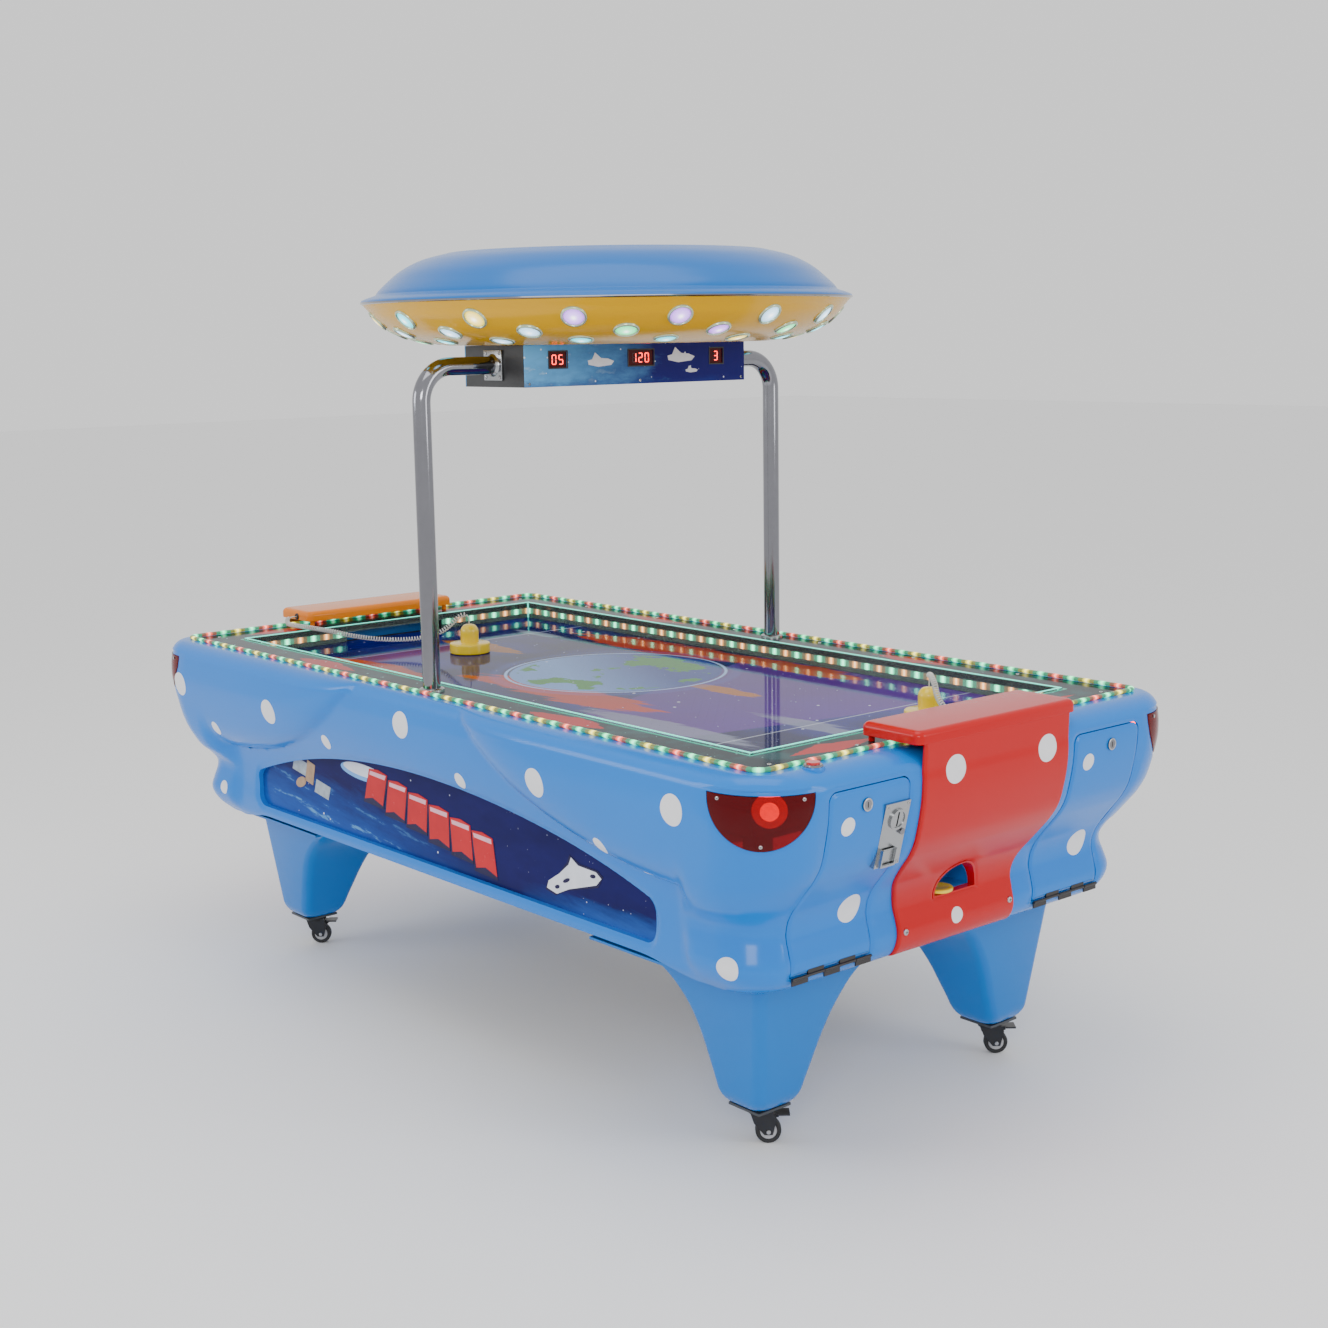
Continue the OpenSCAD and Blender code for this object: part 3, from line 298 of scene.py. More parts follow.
def playfield_look():
    """Printed space picture: lit globe in a ring, streaks, a purple half, stars, air holes."""
    k = Look("playfield_print")
    x, y = k.x, k.y
    cloud = k.noise(3.2, 5.0, 0.6)
    fine = k.noise(16.0, 5.0, 0.6)
    base = k.mix(cloud.above(0.42, 0.3), (0.003, 0.003, 0.060), (0.008, 0.012, 0.26))
    base = k.mix((x + y * 0.35).above(0.16, 0.01) * (x - y * 0.2).below(0.66, 0.01) * 0.75, base,
                 (0.10, 0.020, 0.26))
    streak = k.noise(1.0, 5.0, 0.65, at=k.vec(x * 3.0 + y * 2.0, y * 26.0 - x * 6.0))
    for cx, cy, w, h, tone in ((-0.25, 0.36, 0.34, 0.075, (0.42, 0.035, 0.012)),
                               (0.16, 0.39, 0.26, 0.05, (0.38, 0.05, 0.02)),
                               (0.03, -0.19, 0.34, 0.07,
                                (0.45, 0.03, 0.01)), (0.30, 0.08, 0.13, 0.03, (0.40, 0.13, 0.01)),
                               (-0.60, 0.05, 0.16, 0.05,
                                (0.30, 0.10, 0.01)), (-0.55, -0.30, 0.20, 0.05, (0.35, 0.03, 0.01))):
        r = size((x - cx) / w, (y - cy) / h) + (streak - 0.5) * 1.6
        base = k.mix(r.below(0.95, 0.12), base, tone)
    for cx, cy, w, h in ((0.50, -0.27, 0.30, 0.05), (0.72, -0.05, 0.22, 0.035), (-0.66, 0.28, 0.12, 0.03)):
        r = size((x - cx) / w, (y - cy) / h) + (streak - 0.5) * 2.0
        base = k.mix(r.below(0.9, 0.2) * 0.7, base, (0.22, 0.24, 0.34))
    gx, gy = x + 0.07, y - 0.06
    r = size(gx, gy)
    sea = k.mix((gx * -0.5 - gy + 0.12).above(0.0, 0.25), (0.012, 0.05, 0.30), (0.16, 0.34, 0.72))
    base = k.mix(r.below(0.25, 0.004), base, sea)
    land = k.noise(7.0, 4.0, 0.55).above(0.545, 0.02)
    base = k.mix(land * r.below(0.235, 0.01), base, (0.03, 0.26, 0.03))
    base = k.mix(r.between(0.252, 0.262, 0.003), base, (0.35, 0.55, 0.95))
    base = k.mix(r.between(0.262, 0.30, 0.03) * 0.5, base, (0.05, 0.14, 0.60))
    line = (x.abs() - 0.68).abs().below(0.003, 0.001)
    base = k.mix(line * 0.6, base, (0.50, 0.55, 0.66))
    base = k.mix(k.stars(26.0, 0.10, 0.35, at=k.vec(x, y)), base, (0.75, 0.80, 0.95))
    base = k.mix(k.stars(70.0, 0.12, 0.25, at=k.vec(x, y)), base, (0.55, 0.62, 0.95))
    pitch = 0.0254
    hole = size(((x / pitch).fract() - 0.5) * pitch,
                ((y / pitch).fract() - 0.5) * pitch).below(0.0009, 0.0004)
    k.set("Base Color", k.mix(hole, base, (0.002, 0.002, 0.002)))
    k.set("Roughness", fine * 0.05 + 0.035)
    k.set("IOR", 1.12)
    k.bump(1.0 - hole, 0.4, 0.001)
    return k.mat


def border_look():
    """Dark teal print with red swashes at the middles of its sides and thin bright lines."""
    k = Look("border_print")
    x, y = k.x, k.y
    wave = k.noise(1.0, 5.0, 0.65, at=k.vec(x * 9.0, y * 9.0))
    fine = k.noise(60.0, 4.0)
    base = k.mix(wave.above(0.5, 0.12), (0.004, 0.016, 0.022), (0.010, 0.060, 0.066))
    side = y.abs().above(0.44, 0.003)
    ragged = wave - 0.5
    long_red = ((x.abs() - 0.45).abs() + ragged * 0.25) / 0.17 + (y.abs() - 0.487).abs() / 0.045
    end_red = ((y.abs() - 0.30).abs() + ragged * 0.15) / 0.15 + (x.abs() - 0.980).abs() / 0.040
    base = k.mix(long_red.below(0.75, 0.08) * side, base, (0.42, 0.008, 0.010))
    base = k.mix(end_red.below(0.8, 0.08) * (1.0 - side), base, (0.42, 0.008, 0.010))
    edge = (x.abs() - 0.929).abs().below(0.0035, 0.001) * y.abs().below(0.449) + \
        (y.abs() - 0.447).abs().below(0.0035, 0.001) * x.abs().below(0.931)
    outer = (x.abs() - 1.022).abs().below(0.002, 0.001) * y.abs().below(0.517) + \
        (y.abs() - 0.516).abs().below(0.002, 0.001) * x.abs().below(1.023)
    base = k.mix(edge.min(1.0) * 0.8, base, (0.10, 0.62, 0.42))
    base = k.mix(outer.min(1.0) * 0.6, base, (0.05, 0.30, 0.28))
    base = k.mix(k.stars(60.0, 0.16, 0.30, at=k.vec(x, y)), base, (0.25, 0.62, 0.60))
    k.set("Base Color", base)
    k.set("Roughness", fine * 0.08 + 0.07)
    k.set("IOR", 1.12)
    return k.mat


def panel_look():
    """Long-side picture: deep blue space, a lit planet's edge along the bottom, stars."""
    k = Look("side_panel_print")
    u, v = k.x, k.z
    cloud = k.noise(1.0, 6.0, 0.6, at=k.vec(u * 4.0, v * 9.0))
    swirl = k.noise(1.0, 6.0, 0.7, at=k.vec(u * 6.0 - v * 8.0, v * 40.0 + u * 6.0))
    base = k.mix(cloud, (0.004, 0.003, 0.030), (0.014, 0.014, 0.150))
    rise = 0.500 - u * 0.09
    glow = (rise - v + (swirl - 0.5) * 0.16).above(0.0, 0.13)
    base = k.mix(glow * u.below(0.25, 0.5), base, (0.010, 0.075, 0.36))
    foam = (swirl.above(0.58, 0.06)) * (rise - 0.02 - v).above(0.0, 0.06) * u.below(0.1, 0.35)
    base = k.mix(foam * 0.7, base, (0.12, 0.36, 0.66))
    base = k.mix((0.40 - v + u * 0.04 + (swirl - 0.5) * 0.05).above(-0.03, 0.05) * u.above(0.3, 0.2), base,
                 (0.02, 0.12, 0.48))
    at = k.vec(u, v)
    base = k.mix(k.stars(34.0, 0.09, 0.35, at=at), base, (0.80, 0.85, 1.0))
    base = k.mix(k.stars(90.0, 0.14, 0.3, at=at) * u.above(0.25, 0.4), base, (0.80, 0.85, 1.0))
    k.set("Base Color", base)
    k.set("Roughness", k.noise(50.0, 4.0) * 0.12 + 0.12)
    k.set("IOR", 1.15)
    return k.mat


def score_look():
    """Score box picture: pale sky on the left, dark space on the right."""
    k = Look("score_panel_print")
    u, v = k.y, k.z
    cloud = k.noise(1.0, 6.0, 0.65, at=k.vec(u * 12.0, v * 30.0))
    fade = ((u + 0.32) * 1.9 + (cloud - 0.5) * 0.7).above(0.0, 0.75)
    base = k.mix(fade, (0.12, 0.42, 0.80), (0.012, 0.010, 0.14))
    base = k.mix(cloud.above(0.58, 0.1) * (1.0 - fade) * 0.8, base, (0.45, 0.72, 0.92))
    base = k.mix((1.435 - v + (cloud - 0.5) * 0.06).above(0.0, 0.03) * 0.8, base, (0.016, 0.03, 0.22))
    base = k.mix(k.stars(70.0, 0.16, 0.4, at=k.vec(u, v)), base, (0.8, 0.88, 1.0))
    k.set("Base Color", base)
    k.set("Roughness", k.noise(80.0, 3.0) * 0.1 + 0.15)
    k.set("IOR", 1.2)
    return k.mat


def lit_beads(name, pitch, tones, strength, dim=(0.02, 0.10, 0.06)):
    """A lit strip: bright beads at an even pitch along it, in a repeating run of colours."""
    k = Look(name)
    s = k.attr("along") / pitch
    near = (s.fract() - 0.5).abs()
    core = near.below(0.26, 0.2)
    pick = (s.floor() / len(tones)).fract()
    tone = k.mix(0.0, tones[0], tones[0])
    for i in range(1, len(tones)):
        tone = k.mix(pick.above((i - 0.5) / len(tones), 0.01), tone, tones[i])
    hot = k.mix(near.below(0.10, 0.08) * 0.35, tone, (1.0, 1.0, 0.9))
    k.set("Base Color", k.mix(core, dim, tone))
    k.set("Emission Color", hot)
    k.set("Emission Strength", core * strength + 0.35)
    k.set("Roughness", k.noise(400.0) * 0.2 + 0.15)
    return k.mat


def canopy_light(name, colour, strength=1.7):
    """A frosted lens: white-hot in the middle, tinted towards its rim, with fine prisms."""
    k = Look(name)
    r = k.attr("rad")
    prisms = k.cells(420.0)
    k.set("Base Color", k.mix(r, (0.9, 0.95, 1.0), colour))
    k.set("Emission Color", k.mix((r * 1.15 + prisms * 0.25).above(0.16, 0.42), (1.0, 1.0, 1.0), colour))
    k.set("Emission Strength", (1.1 - r) * strength + prisms * 0.8 + 0.55)
    k.set("Roughness", prisms * 0.3 + 0.15)
    return k.mat


def glass_look(name, tint, rough, clear):
    """Tinted plastic. clear is how much light it lets through."""
    k = Look(name)
    k.set("Base Color", k.mix(k.noise(20.0), shade(tint, 0.9), tint))
    k.set("Roughness", k.noise(80.0) * 0.04 + rough)
    k.set("Transmission Weight", clear)
    k.set("IOR", 1.25)
    return k.mat


M.update(wood=wood(), playfield=playfield_look(), border=border_look(), panel=panel_look(),
         score=score_look(),
         rope=lit_beads("rope_light", 0.040,
                        ((0.06, 0.95, 0.38), (1.0, 0.10, 0.05), (0.08, 0.95, 0.45),
                         (0.85, 0.70, 0.05)), 2.0),
         strip=lit_beads("wall_light", 0.038, ((0.12, 1.0, 0.55), (1.0, 0.30, 0.06)), 3.4,
                         (0.10, 0.20, 0.14)),
         glass=glass_look("rail_clear", (0.78, 0.98, 0.92), 0.02, 0.93),
         lamp=glass_look("lamp_cover_red", (0.30, 0.004, 0.010), 0.05, 0.75),
         led_red=glowing("digit_red", (1.0, 0.03, 0.02), 7.0),
         bulb=glowing("lamp_bulb", (1.0, 0.05, 0.03), 9.0),
         # The glass rail's edges get a painted glow here: painted light, not a lamp.
         rail_edge=glowing("rail_edge_light", (0.10, 0.80, 0.62), 1.4),
         led_off=paint("digit_unlit", (0.055, 0.004, 0.004), 0.35, vary=0.3, scale=90),
         fork=paint("black_zinc", (0.035, 0.036, 0.040), 0.32, metal=0.7, vary=0.3, scale=30, wear=0.3,
                    grain=0.2),
         bezel=paint("light_bezel", (0.50, 0.62, 0.42), 0.2, metal=0.6, coat=0.4, vary=0.25, scale=60),
         light_ice=canopy_light("light_ice",
                                (0.45, 0.75,
                                 1.0)), light_cyan=canopy_light("light_cyan", (0.05, 0.80, 0.95)),
         light_violet=canopy_light("light_violet",
                                   (0.55, 0.22,
                                    1.0)), light_amber=canopy_light("light_amber", (1.0, 0.72, 0.05)),
         light_green=canopy_light("light_green", (0.10, 0.95, 0.35)),
         print_white=paint("print_white", (0.72, 0.74, 0.80), 0.25, spec=0.15, vary=0.15, scale=40),
         print_sky=paint("print_sky", (0.16, 0.40, 0.80), 0.25, spec=0.15, vary=0.25, scale=30),
         print_red=paint("print_red", (0.55, 0.012, 0.02), 0.25, spec=0.15, vary=0.25, scale=14),
         print_pink=paint("print_pink", (0.86, 0.42, 0.50), 0.25, spec=0.15, vary=0.2, scale=30),
         print_dark=paint("print_dark", (0.012, 0.008, 0.05), 0.25, spec=0.15, vary=0.3, scale=30),
         print_grey=paint("print_grey", (0.34, 0.40, 0.46), 0.25, spec=0.15, vary=0.35, scale=90),
         print_tan=paint("print_tan", (0.40, 0.26, 0.16), 0.25, spec=0.15, vary=0.35, scale=60),
         window=glass_look("display_window", (0.10, 0.006, 0.006), 0.05, 0.3))


# ------------------------------------------------------------------ mesh tools
def mesh_of(name, part):
    me = bpy.data.meshes.new(name)
    me.from_pydata([tuple(v) for v in part[0]], [], [tuple(f) for f in part[1]])
    return me


def in_scene(name, data):
    o = bpy.data.objects.new(name, data)
    bpy.context.scene.collection.objects.link(o)
    return o


def face_outwards(me, most_sides=0):
    """Turns the faces outwards. With most_sides, faces with more sides than that are cut into triangles."""
    bm = bmesh.new()
    bm.from_mesh(me)
    bmesh.ops.recalc_face_normals(bm, faces=bm.faces)
    if most_sides:
        bmesh.ops.triangulate(bm, faces=[f for f in bm.faces if len(f.verts) > most_sides])
    bm.to_mesh(me)
    bm.free()


def piece(name, verts, faces, material, **where):
    """A visible piece of the object from its mesh. where is as in finish_mesh."""
    me = mesh_of(name, (verts, faces))
    me.validate()
    return finish_mesh(name, me, material, **where)


def finish_mesh(name, me, material, body="table", slot=None, hides=(), angle=32.0):
    """Edges sharper than angle stay sharp. The piece rides on body and replaces the CAD nodes in hides."""
    face_outwards(me)
    me.shade_smooth()
    me.set_sharp_from_angle(angle=math.radians(angle))
    me.materials.clear()
    me.materials.append(M[material])
    o = in_scene(name, me)
    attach(o, body)
    if hides:
        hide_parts(*hides)
    return o


def merged(parts):
    """Several (verts, faces) lists as one."""
    verts, faces = [], []
    for v, f in parts:
        n = len(verts)
        verts += list(v)
        faces += [tuple(i + n for i in face) for face in f]
    return verts, faces


def moved(part, matrix):
    """The part put through a matrix."""
    return [matrix @ Vector(v) for v in part[0]], part[1]


def loft(rings, caps=True):
    """A skin over closed rings with the same number of points, with flat ends."""
    m = len(rings[0])
    verts = [p for r in rings for p in r]
    faces = []
    for k in range(len(rings) - 1):
        for i in range(m):
            a, b = k * m + i, k * m + (i + 1) % m
            faces.append((a, b, b + m, a + m))
    if caps:
        faces += [tuple(reversed(range(m))), tuple(range((len(rings) - 1) * m, len(rings) * m))]
    return verts, faces


def prism(outline, a, b, place):
    """An outline from a to b. place(u, v, w) gives the point for an outline point at depth w."""
    return loft([[place(u, v, a) for u, v in outline], [place(u, v, b) for u, v in outline]])


def along_x(u, v, w): return (w, u, v)
def along_y(u, v, w): return (u, w, v)
def along_z(u, v, w): return (u, v, w)


def bridged(rows):
    """Faces between rows of vertex numbers. A row that repeats one number is a point."""
    faces = []
    for a, b in zip(rows, rows[1:]):
        for i in range(len(a)):
            j = (i + 1) % len(a)
            quad = [a[i], a[j], b[j], b[i]]
            face = [q for n, q in enumerate(quad) if q not in quad[:n]]
            if len(face) > 2:
                faces.append(tuple(face))
    return faces


def revolve(profile, steps=64, centre=(0, 0, 0)):
    """(radius, height) points turned about Z."""
    cx, cy, cz = centre
    verts, rows = [], []
    for r, z in profile:
        if r < 1e-7:
            rows.append([len(verts)] * steps)
            verts.append((cx, cy, cz + z))
        else:
            rows.append(list(range(len(verts), len(verts) + steps)))
            for i in range(steps):
                a = 2 * math.pi * i / steps
                verts.append((cx + r * math.cos(a), cy + r * math.sin(a), cz + z))
    return verts, bridged(rows)


def ring_profile(profile, steps=64, centre=(0, 0, 0)):
    """A closed (radius, height) outline turned about Z."""
    return revolve([*profile, profile[0]], steps, centre)


def box(x0, x1, y0, y1, z0, z1, r=0.0):
    """A block, with its edges rounded to r."""
    if r <= 0:
        return loft([[(x0, y0, z), (x1, y0, z), (x1, y1, z), (x0, y1, z)] for z in (z0, z1)])
    rings = []
    for z, inset in ((z0, r), (z0 + 0.3 * r, 0.3 * r), (z0 + r, 0), (z1 - r, 0), (z1 - 0.3 * r, 0.3 * r),
                     (z1, r)):
        rings.append(rounded(x0 + inset, x1 - inset, y0 + inset, y1 - inset, max(r - inset, 0.15 * r), z))
    return loft(rings)


def rounded(x0, x1, y0, y1, r, z=None, steps=4):
    """A rectangle with round corners, at height z where one is given."""
    pts = []
    for cx, cy, a in ((x1 - r, y1 - r, 0), (x0 + r, y1 - r, 90), (x0 + r, y0 + r, 180),
                      (x1 - r, y0 + r, 270)):
        for i in range(steps + 1):
            t = math.radians(a + 90 * i / steps)
            p = (cx + r * math.cos(t), cy + r * math.sin(t))
            pts.append(p if z is None else (*p, z))
    return pts


def frame_for(axis, at):
    """A matrix that turns +Z to axis and moves to at."""
    return Matrix.Translation(at) @ Vector(axis).to_track_quat("Z", "Y").to_matrix().to_4x4()


def rod(a, b, r, steps=24, round_end=0.0):
    """A round bar from a to b with softened ends."""
    a, b = Vector(a), Vector(b)
    h = (b - a).length
    e = min(round_end or r * 0.12, h * 0.3)
    prof = [(0, 0), (r - e, 0), (r, e), (r, h - e), (r - e, h), (0, h)]
    return moved(revolve(prof, steps), frame_for(b - a, a))


def screw(at, axis, r, h):
    """A pan head, and the two strokes of its cross recess as thin bars over the head, which are given a dark
    finish as painted shade.
    """
    prof = [(0, h * 0.55), (r * 0.18, h * 0.55), (r * 0.22, h), (r * 0.6, h * 0.93), (r * 0.9, h * 0.6),
            (r, 0.0), (r, -h), (0, -h)]
    where = frame_for(axis, at)
    stroke = box(-r * 0.55, r * 0.55, -r * 0.10, r * 0.10, h * 0.93, h * 1.02)
    return moved(revolve(prof, 20), where), [
        moved(moved(stroke, Matrix.Rotation(math.pi / 2 * k, 4, "Z")), where) for k in range(2)]


def temp(part):
    """A closed part as an object for a boolean."""
    me = mesh_of("cutter", part)
    face_outwards(me, 4)
    return in_scene("cutter", me)


def carve(part, steps):
    """Applies ("DIFFERENCE" | "INTERSECT" | "UNION", part) steps to a closed part and returns the mesh."""
    base = temp(part)
    others = []
    for kind, other in steps:
        o = temp(other)
        others.append(o)
        m = base.modifiers.new("b", "BOOLEAN")
        m.operation, m.solver, m.object = kind, "MANIFOLD", o
    bpy.context.view_layer.update()
    dg = bpy.context.evaluated_depsgraph_get()
    me = bpy.data.meshes.new_from_object(base.evaluated_get(dg))
    for o in [base, *others]:
        bpy.data.objects.remove(o)
    return me


def catmull(points, per=6):
    """A smooth open curve through the points."""
    p = [Vector(q) for q in points]
    p = [2 * p[0] - p[1], *p, 2 * p[-1] - p[-2]]
    out = []
    for i in range(1, len(p) - 2):
        for k in range(per):
            t = k / per
            a, b, c, d = p[i - 1:i + 3]
            square, cube = 2 * a - 5 * b + 4 * c - d, 3 * b - a - 3 * c + d
            out.append(0.5 * (2 * b + (c - a) * t + square * t * t + cube * t ** 3))
    return out + [p[-2]]


def cross_axes(points):
    """Two directions across a line at each of its points, turned as little as possible."""
    n, u, axes = len(points), None, []
    for i in range(n):
        t = (points[min(i + 1, n - 1)] - points[max(i - 1, 0)]).normalized()
        u = t.orthogonal().normalized() if u is None else u
        u = (u - t * u.dot(t)).normalized()
        axes.append((u, t.cross(u)))
    return axes


def tube(points, r, sides):
    """A closed round tube along points."""
    turns = [2 * math.pi * k / sides for k in range(sides)]
    return loft([[p + r * (math.cos(a) * u + math.sin(a) * w) for a in turns]
                 for p, (u, w) in zip(points, cross_axes(points))])


# ------------------------------------------------------------------ mallet cords
def mm(points):
    """Points in millimetres as points in metres."""
    return [tuple(v / 1000 for v in p) for p in points]


CORD_RED = mm([(1040, 224.3, 812), (1040, 240, 812), (1034, 256, 808), (1014, 262, 800), (990, 252, 797),
               (970, 222, 797), (964, 180, 797), (962, 130,
                                                  797), (962, 90, 798), (955, 68, 801), (935, 62, 806),
               (905, 75, 822), (880, 95, 840), (856, 112,
                                                850), (838, 128, 849), (829, 137, 843), (826, 140, 834),
               (826, 140, 828), (826, 140, 822.3)])
CORD_ORANGE = mm([(-1040, -224.3, 812), (-1040, -240, 812), (-1034, -256, 808), (-1012, -266, 800),
                (-975, -270, 800), (-930, -268, 801), (-880, -258,
                                                       800), (-830, -240, 796), (-780, -215, 788),
                (-730, -185, 783), (-690, -150, 781), (-655, -115, 783), (-625, -85, 790), (-598, -62, 806),
                (-578, -47, 826), (-565, -37, 840), (-556, -30, 845), (-548, -24, 842), (-545, -22, 834),
                (-545, -22, 828), (-545, -22, 822.3)])


def curly(name, route):
    """A coiled cord: straight tails at both ends and an even helix between them."""
    wire, coil_r, pitch, tail, per = 0.0030, 0.0049, 0.0070, 0.022, 12
    line = catmull(route, per)
    dist = [0.0]
    for a, b in zip(line, line[1:]):
        dist.append(dist[-1] + (b - a).length)
    total = dist[-1]
    n = int((total - 2 * tail) / pitch * per)
    lengths = np.array(dist)
    xyz = np.array([tuple(p) for p in line])
    side = cross_axes(line)

    def at(s):
        """The point at length s along the route, and the two directions across it."""
        p = Vector([float(np.interp(s, lengths, xyz[:, i])) for i in range(3)])
        k = min(max(int(np.searchsorted(lengths, s)), 0), len(side) - 1)
        return p, side[k]
    path = [at(tail * i / 5)[0] for i in range(5)]
    for i in range(n + 1):
        s = tail + (total - 2 * tail) * i / n
        p, (a, b) = at(s)
        grow = min(1.0, i / per, (n - i) / per)
        ang = 2 * math.pi * i / per
        path.append(p + coil_r * grow * (math.cos(ang) * a + math.sin(ang) * b))
    path += [at(total - tail + tail * (i + 1) / 5)[0] for i in range(5)]
    length = sum((b - a).length for a, b in zip(path, path[1:]))
    me = mesh_of(name, tube(path, wire / 2, 6))
    me.shade_smooth()
    me.materials.append(M["cord"])
    o = in_scene(name, me)
    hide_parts(name.replace("curly", "mallet_cord"))
    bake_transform(o)


curly("curly_red", CORD_RED)
curly("curly_orange", CORD_ORANGE)


# ------------------------------------------------------------------ body surface, in millimetres
# Half length, half width and height of the rim. The outlines below are (height from the rim, reach past it).
HX, HY, RIM = 1047.0, 541.0, 790.0
DIAG = 0.70711
# The arched picture: half width, lower edge, corner radius, and the arch's radius and its middle's height.
ARCH_HALF, ARCH_LOW, ARCH_BEND, ARCH_R, ARCH_MID = 745, 412, 28, 2342, -1724
# The doors: middle, half width and half height, and the radius of the upper corners.
DOOR_Y, DOOR_Z, DOOR_HALF_Y, DOOR_HALF_Z, DOOR_BEND = 337, 575, 101, 175, 18
# The corner lamps: middle along the corner's diagonal cut, its height, half width and height.
LAMP_S, LAMP_Z, LAMP_HALF, LAMP_H = 362, 752, 93, 90
# The puck's return mouth: height of its sill and radius of its arch.
SCOOP_Z, SCOOP_H = 470, 58
END = [(-424, -62), (-412, -42), (-396, -30), (-372, -25), (-345, -30), (-320, -36), (-295, -33),
       (-272, -23),
       (-250, -7), (-225, 13), (-200, 33), (-170, 50), (-130, 61), (-90, 68), (-55, 70), (-36, 69)]
POD = [(-424, -40), (-400, -18), (-370, -4), (-340, -8), (-300, -14), (-275, 2), (-256, 22), (-230, 36),
       (-203, 44), (-150, 51), (-90, 59), (-55, 58), (-36, 56)]
SIDE = [(-424, -36), (-405, -24), (-370, -19), (-330, -21), (-270, -17), (-230, -9), (-190, 5), (-150, 21),
        (-110, 31), (-60, 35), (-36, 33)]
CORNER = [(-424, 85), (-340, 95), (-290, 105), (-230, 125), (-170, 135), (-36, 135)]


def curve(t, p):
    """A smooth curve through the points p, read at t."""
    i = 0
    while i < len(p) - 2 and t > p[i + 1][0]:
        i += 1

    def slope(k):
        a, b = max(k - 1, 0), min(k + 1, len(p) - 1)
        return (p[b][1] - p[a][1]) / (p[b][0] - p[a][0])
    h = p[i + 1][0] - p[i][0]
    u = min(max((t - p[i][0]) / h, 0), 1)
    return ((2 * u ** 3 - 3 * u ** 2 + 1) * p[i][1] + (u ** 3 - 2 * u ** 2 + u) * h * slope(i)
            + (3 * u ** 2 - 2 * u ** 3) * p[i + 1][1] + (u ** 3 - u ** 2) * h * slope(i + 1))


def smooth(t):
    """0 to 1 with level ends."""
    t = min(max(t, 0.0), 1.0)
    return t * t * (3 - 2 * t)


def pod_weight(x, h):
    """How much of the pod's outline the side has at x: 0 is the plain side, 1 the bulging corner pod."""
    c = max(1000 - x, 0) / 735
    crease, slope = -244 + 189 * c ** 2.85, -189 * 2.85 / 735 * c ** 1.85
    u = min(max((h - crease) / math.sqrt(1 + slope * slope) / 110, 0), 1)
    boss = smooth((x - 815 - 0.25 * max(-310 - h, 0)) / (30 + 60 * smooth((h + 300) / 50)))
    return max(math.sqrt(1 - (1 - u) ** 2), boss)


def end_x(z):
    """Reach of the body's end at height z."""
    return HX + curve(z - RIM, END)


def round_box(dx, dy, r):
    """Signed distance from a rounded box, from how far a point is past each of its sides."""
    return min(max(dx + r, dy + r), 0) + math.hypot(max(dx + r, 0), max(dy + r, 0)) - r


def arch_gap(x, z):
    """How far a point of the long side is outside the arched opening."""
    top = math.hypot(x, z - ARCH_MID) - ARCH_R
    return round_box(abs(x) - ARCH_HALF, top if z > 476 else max(ARCH_LOW - z, top), ARCH_BEND)


def door_gap(y, z, grow=2, low_bend=3):
    """How far a point of the end is outside the doors' outline, grown all round."""
    return round_box(abs(abs(y) - DOOR_Y) - DOOR_HALF_Y - grow, abs(z - DOOR_Z) - DOOR_HALF_Z - grow,
                     DOOR_BEND if z > 500 else low_bend)


def lamp_gap(x, y, z):
    """How far a point of the corner is outside the lamp's opening."""
    s = (abs(x) - abs(y)) * DIAG
    return (math.hypot((s - LAMP_S) / LAMP_HALF, (z - LAMP_Z) / LAMP_H) - 1) * 91 if z < 768 else 99.0


def lip(gap, depth=3.2, width=9.0):
    """How far a surface rolls in at the edge of an opening."""
    return depth * (1 - smooth(gap / width))


def side_y(x, z):
    """Half-width of the body at x and height z."""
    h, x = z - RIM, abs(x)
    r, e = curve(h, CORNER), HX + curve(h, END)
    pod, side = HY + curve(h, POD), HY + curve(h, SIDE)
    if x <= e - r:
        return side + (pod - side) * pod_weight(x, h)
    return pod - r + math.sqrt(max(r * r - (x - e + r) ** 2, 0.0))


def end_at(y, z):
    """Reach of the body's end at y and height z, round the corner too."""
    h, y = z - RIM, abs(y)
    r, e, hy = curve(h, CORNER), end_x(z), HY + curve(h, POD)
    return e if y <= hy - r else e - r + math.sqrt(max(r * r - (y - hy + r) ** 2, 0.0))


XS = sorted({*[13.0 * k for k in range(61)], 733.0, 738.0, 742.0, 745.0, 748.0, 753.0, 760.0})
YS = [-400, -370, -337, -304, -270, -255, -246, -240, -236, -233, -229, -222, -206, -170, -120, -62, 0]


def quarter(level, fine):
    """A quarter of the outline at a level, from the middle of a long side to the middle of an end."""
    h, e, p, s, r = level
    hx, hy = HX + e, HY + p
    xs = XS if fine else [30.0 * k for k in range(27)]
    xs = [*xs, *[780 + (hx - r - 780) * k / 9 for k in range(1, 9)]]
    q = [(x, -HY - s - (p - s) * pod_weight(x, h)) for x in xs]
    steps = 26 if fine else 12
    q += [(hx - r + r * math.sin(a), -hy + r - r * math.cos(a)) for a in np.linspace(0, math.pi / 2, steps)]
    low = -hy + r
    q += [(hx, low + (-400 - low) * k / 3) for k in (1, 2)]
    return q + [(hx, y) for y in (YS if fine else YS[::4])]


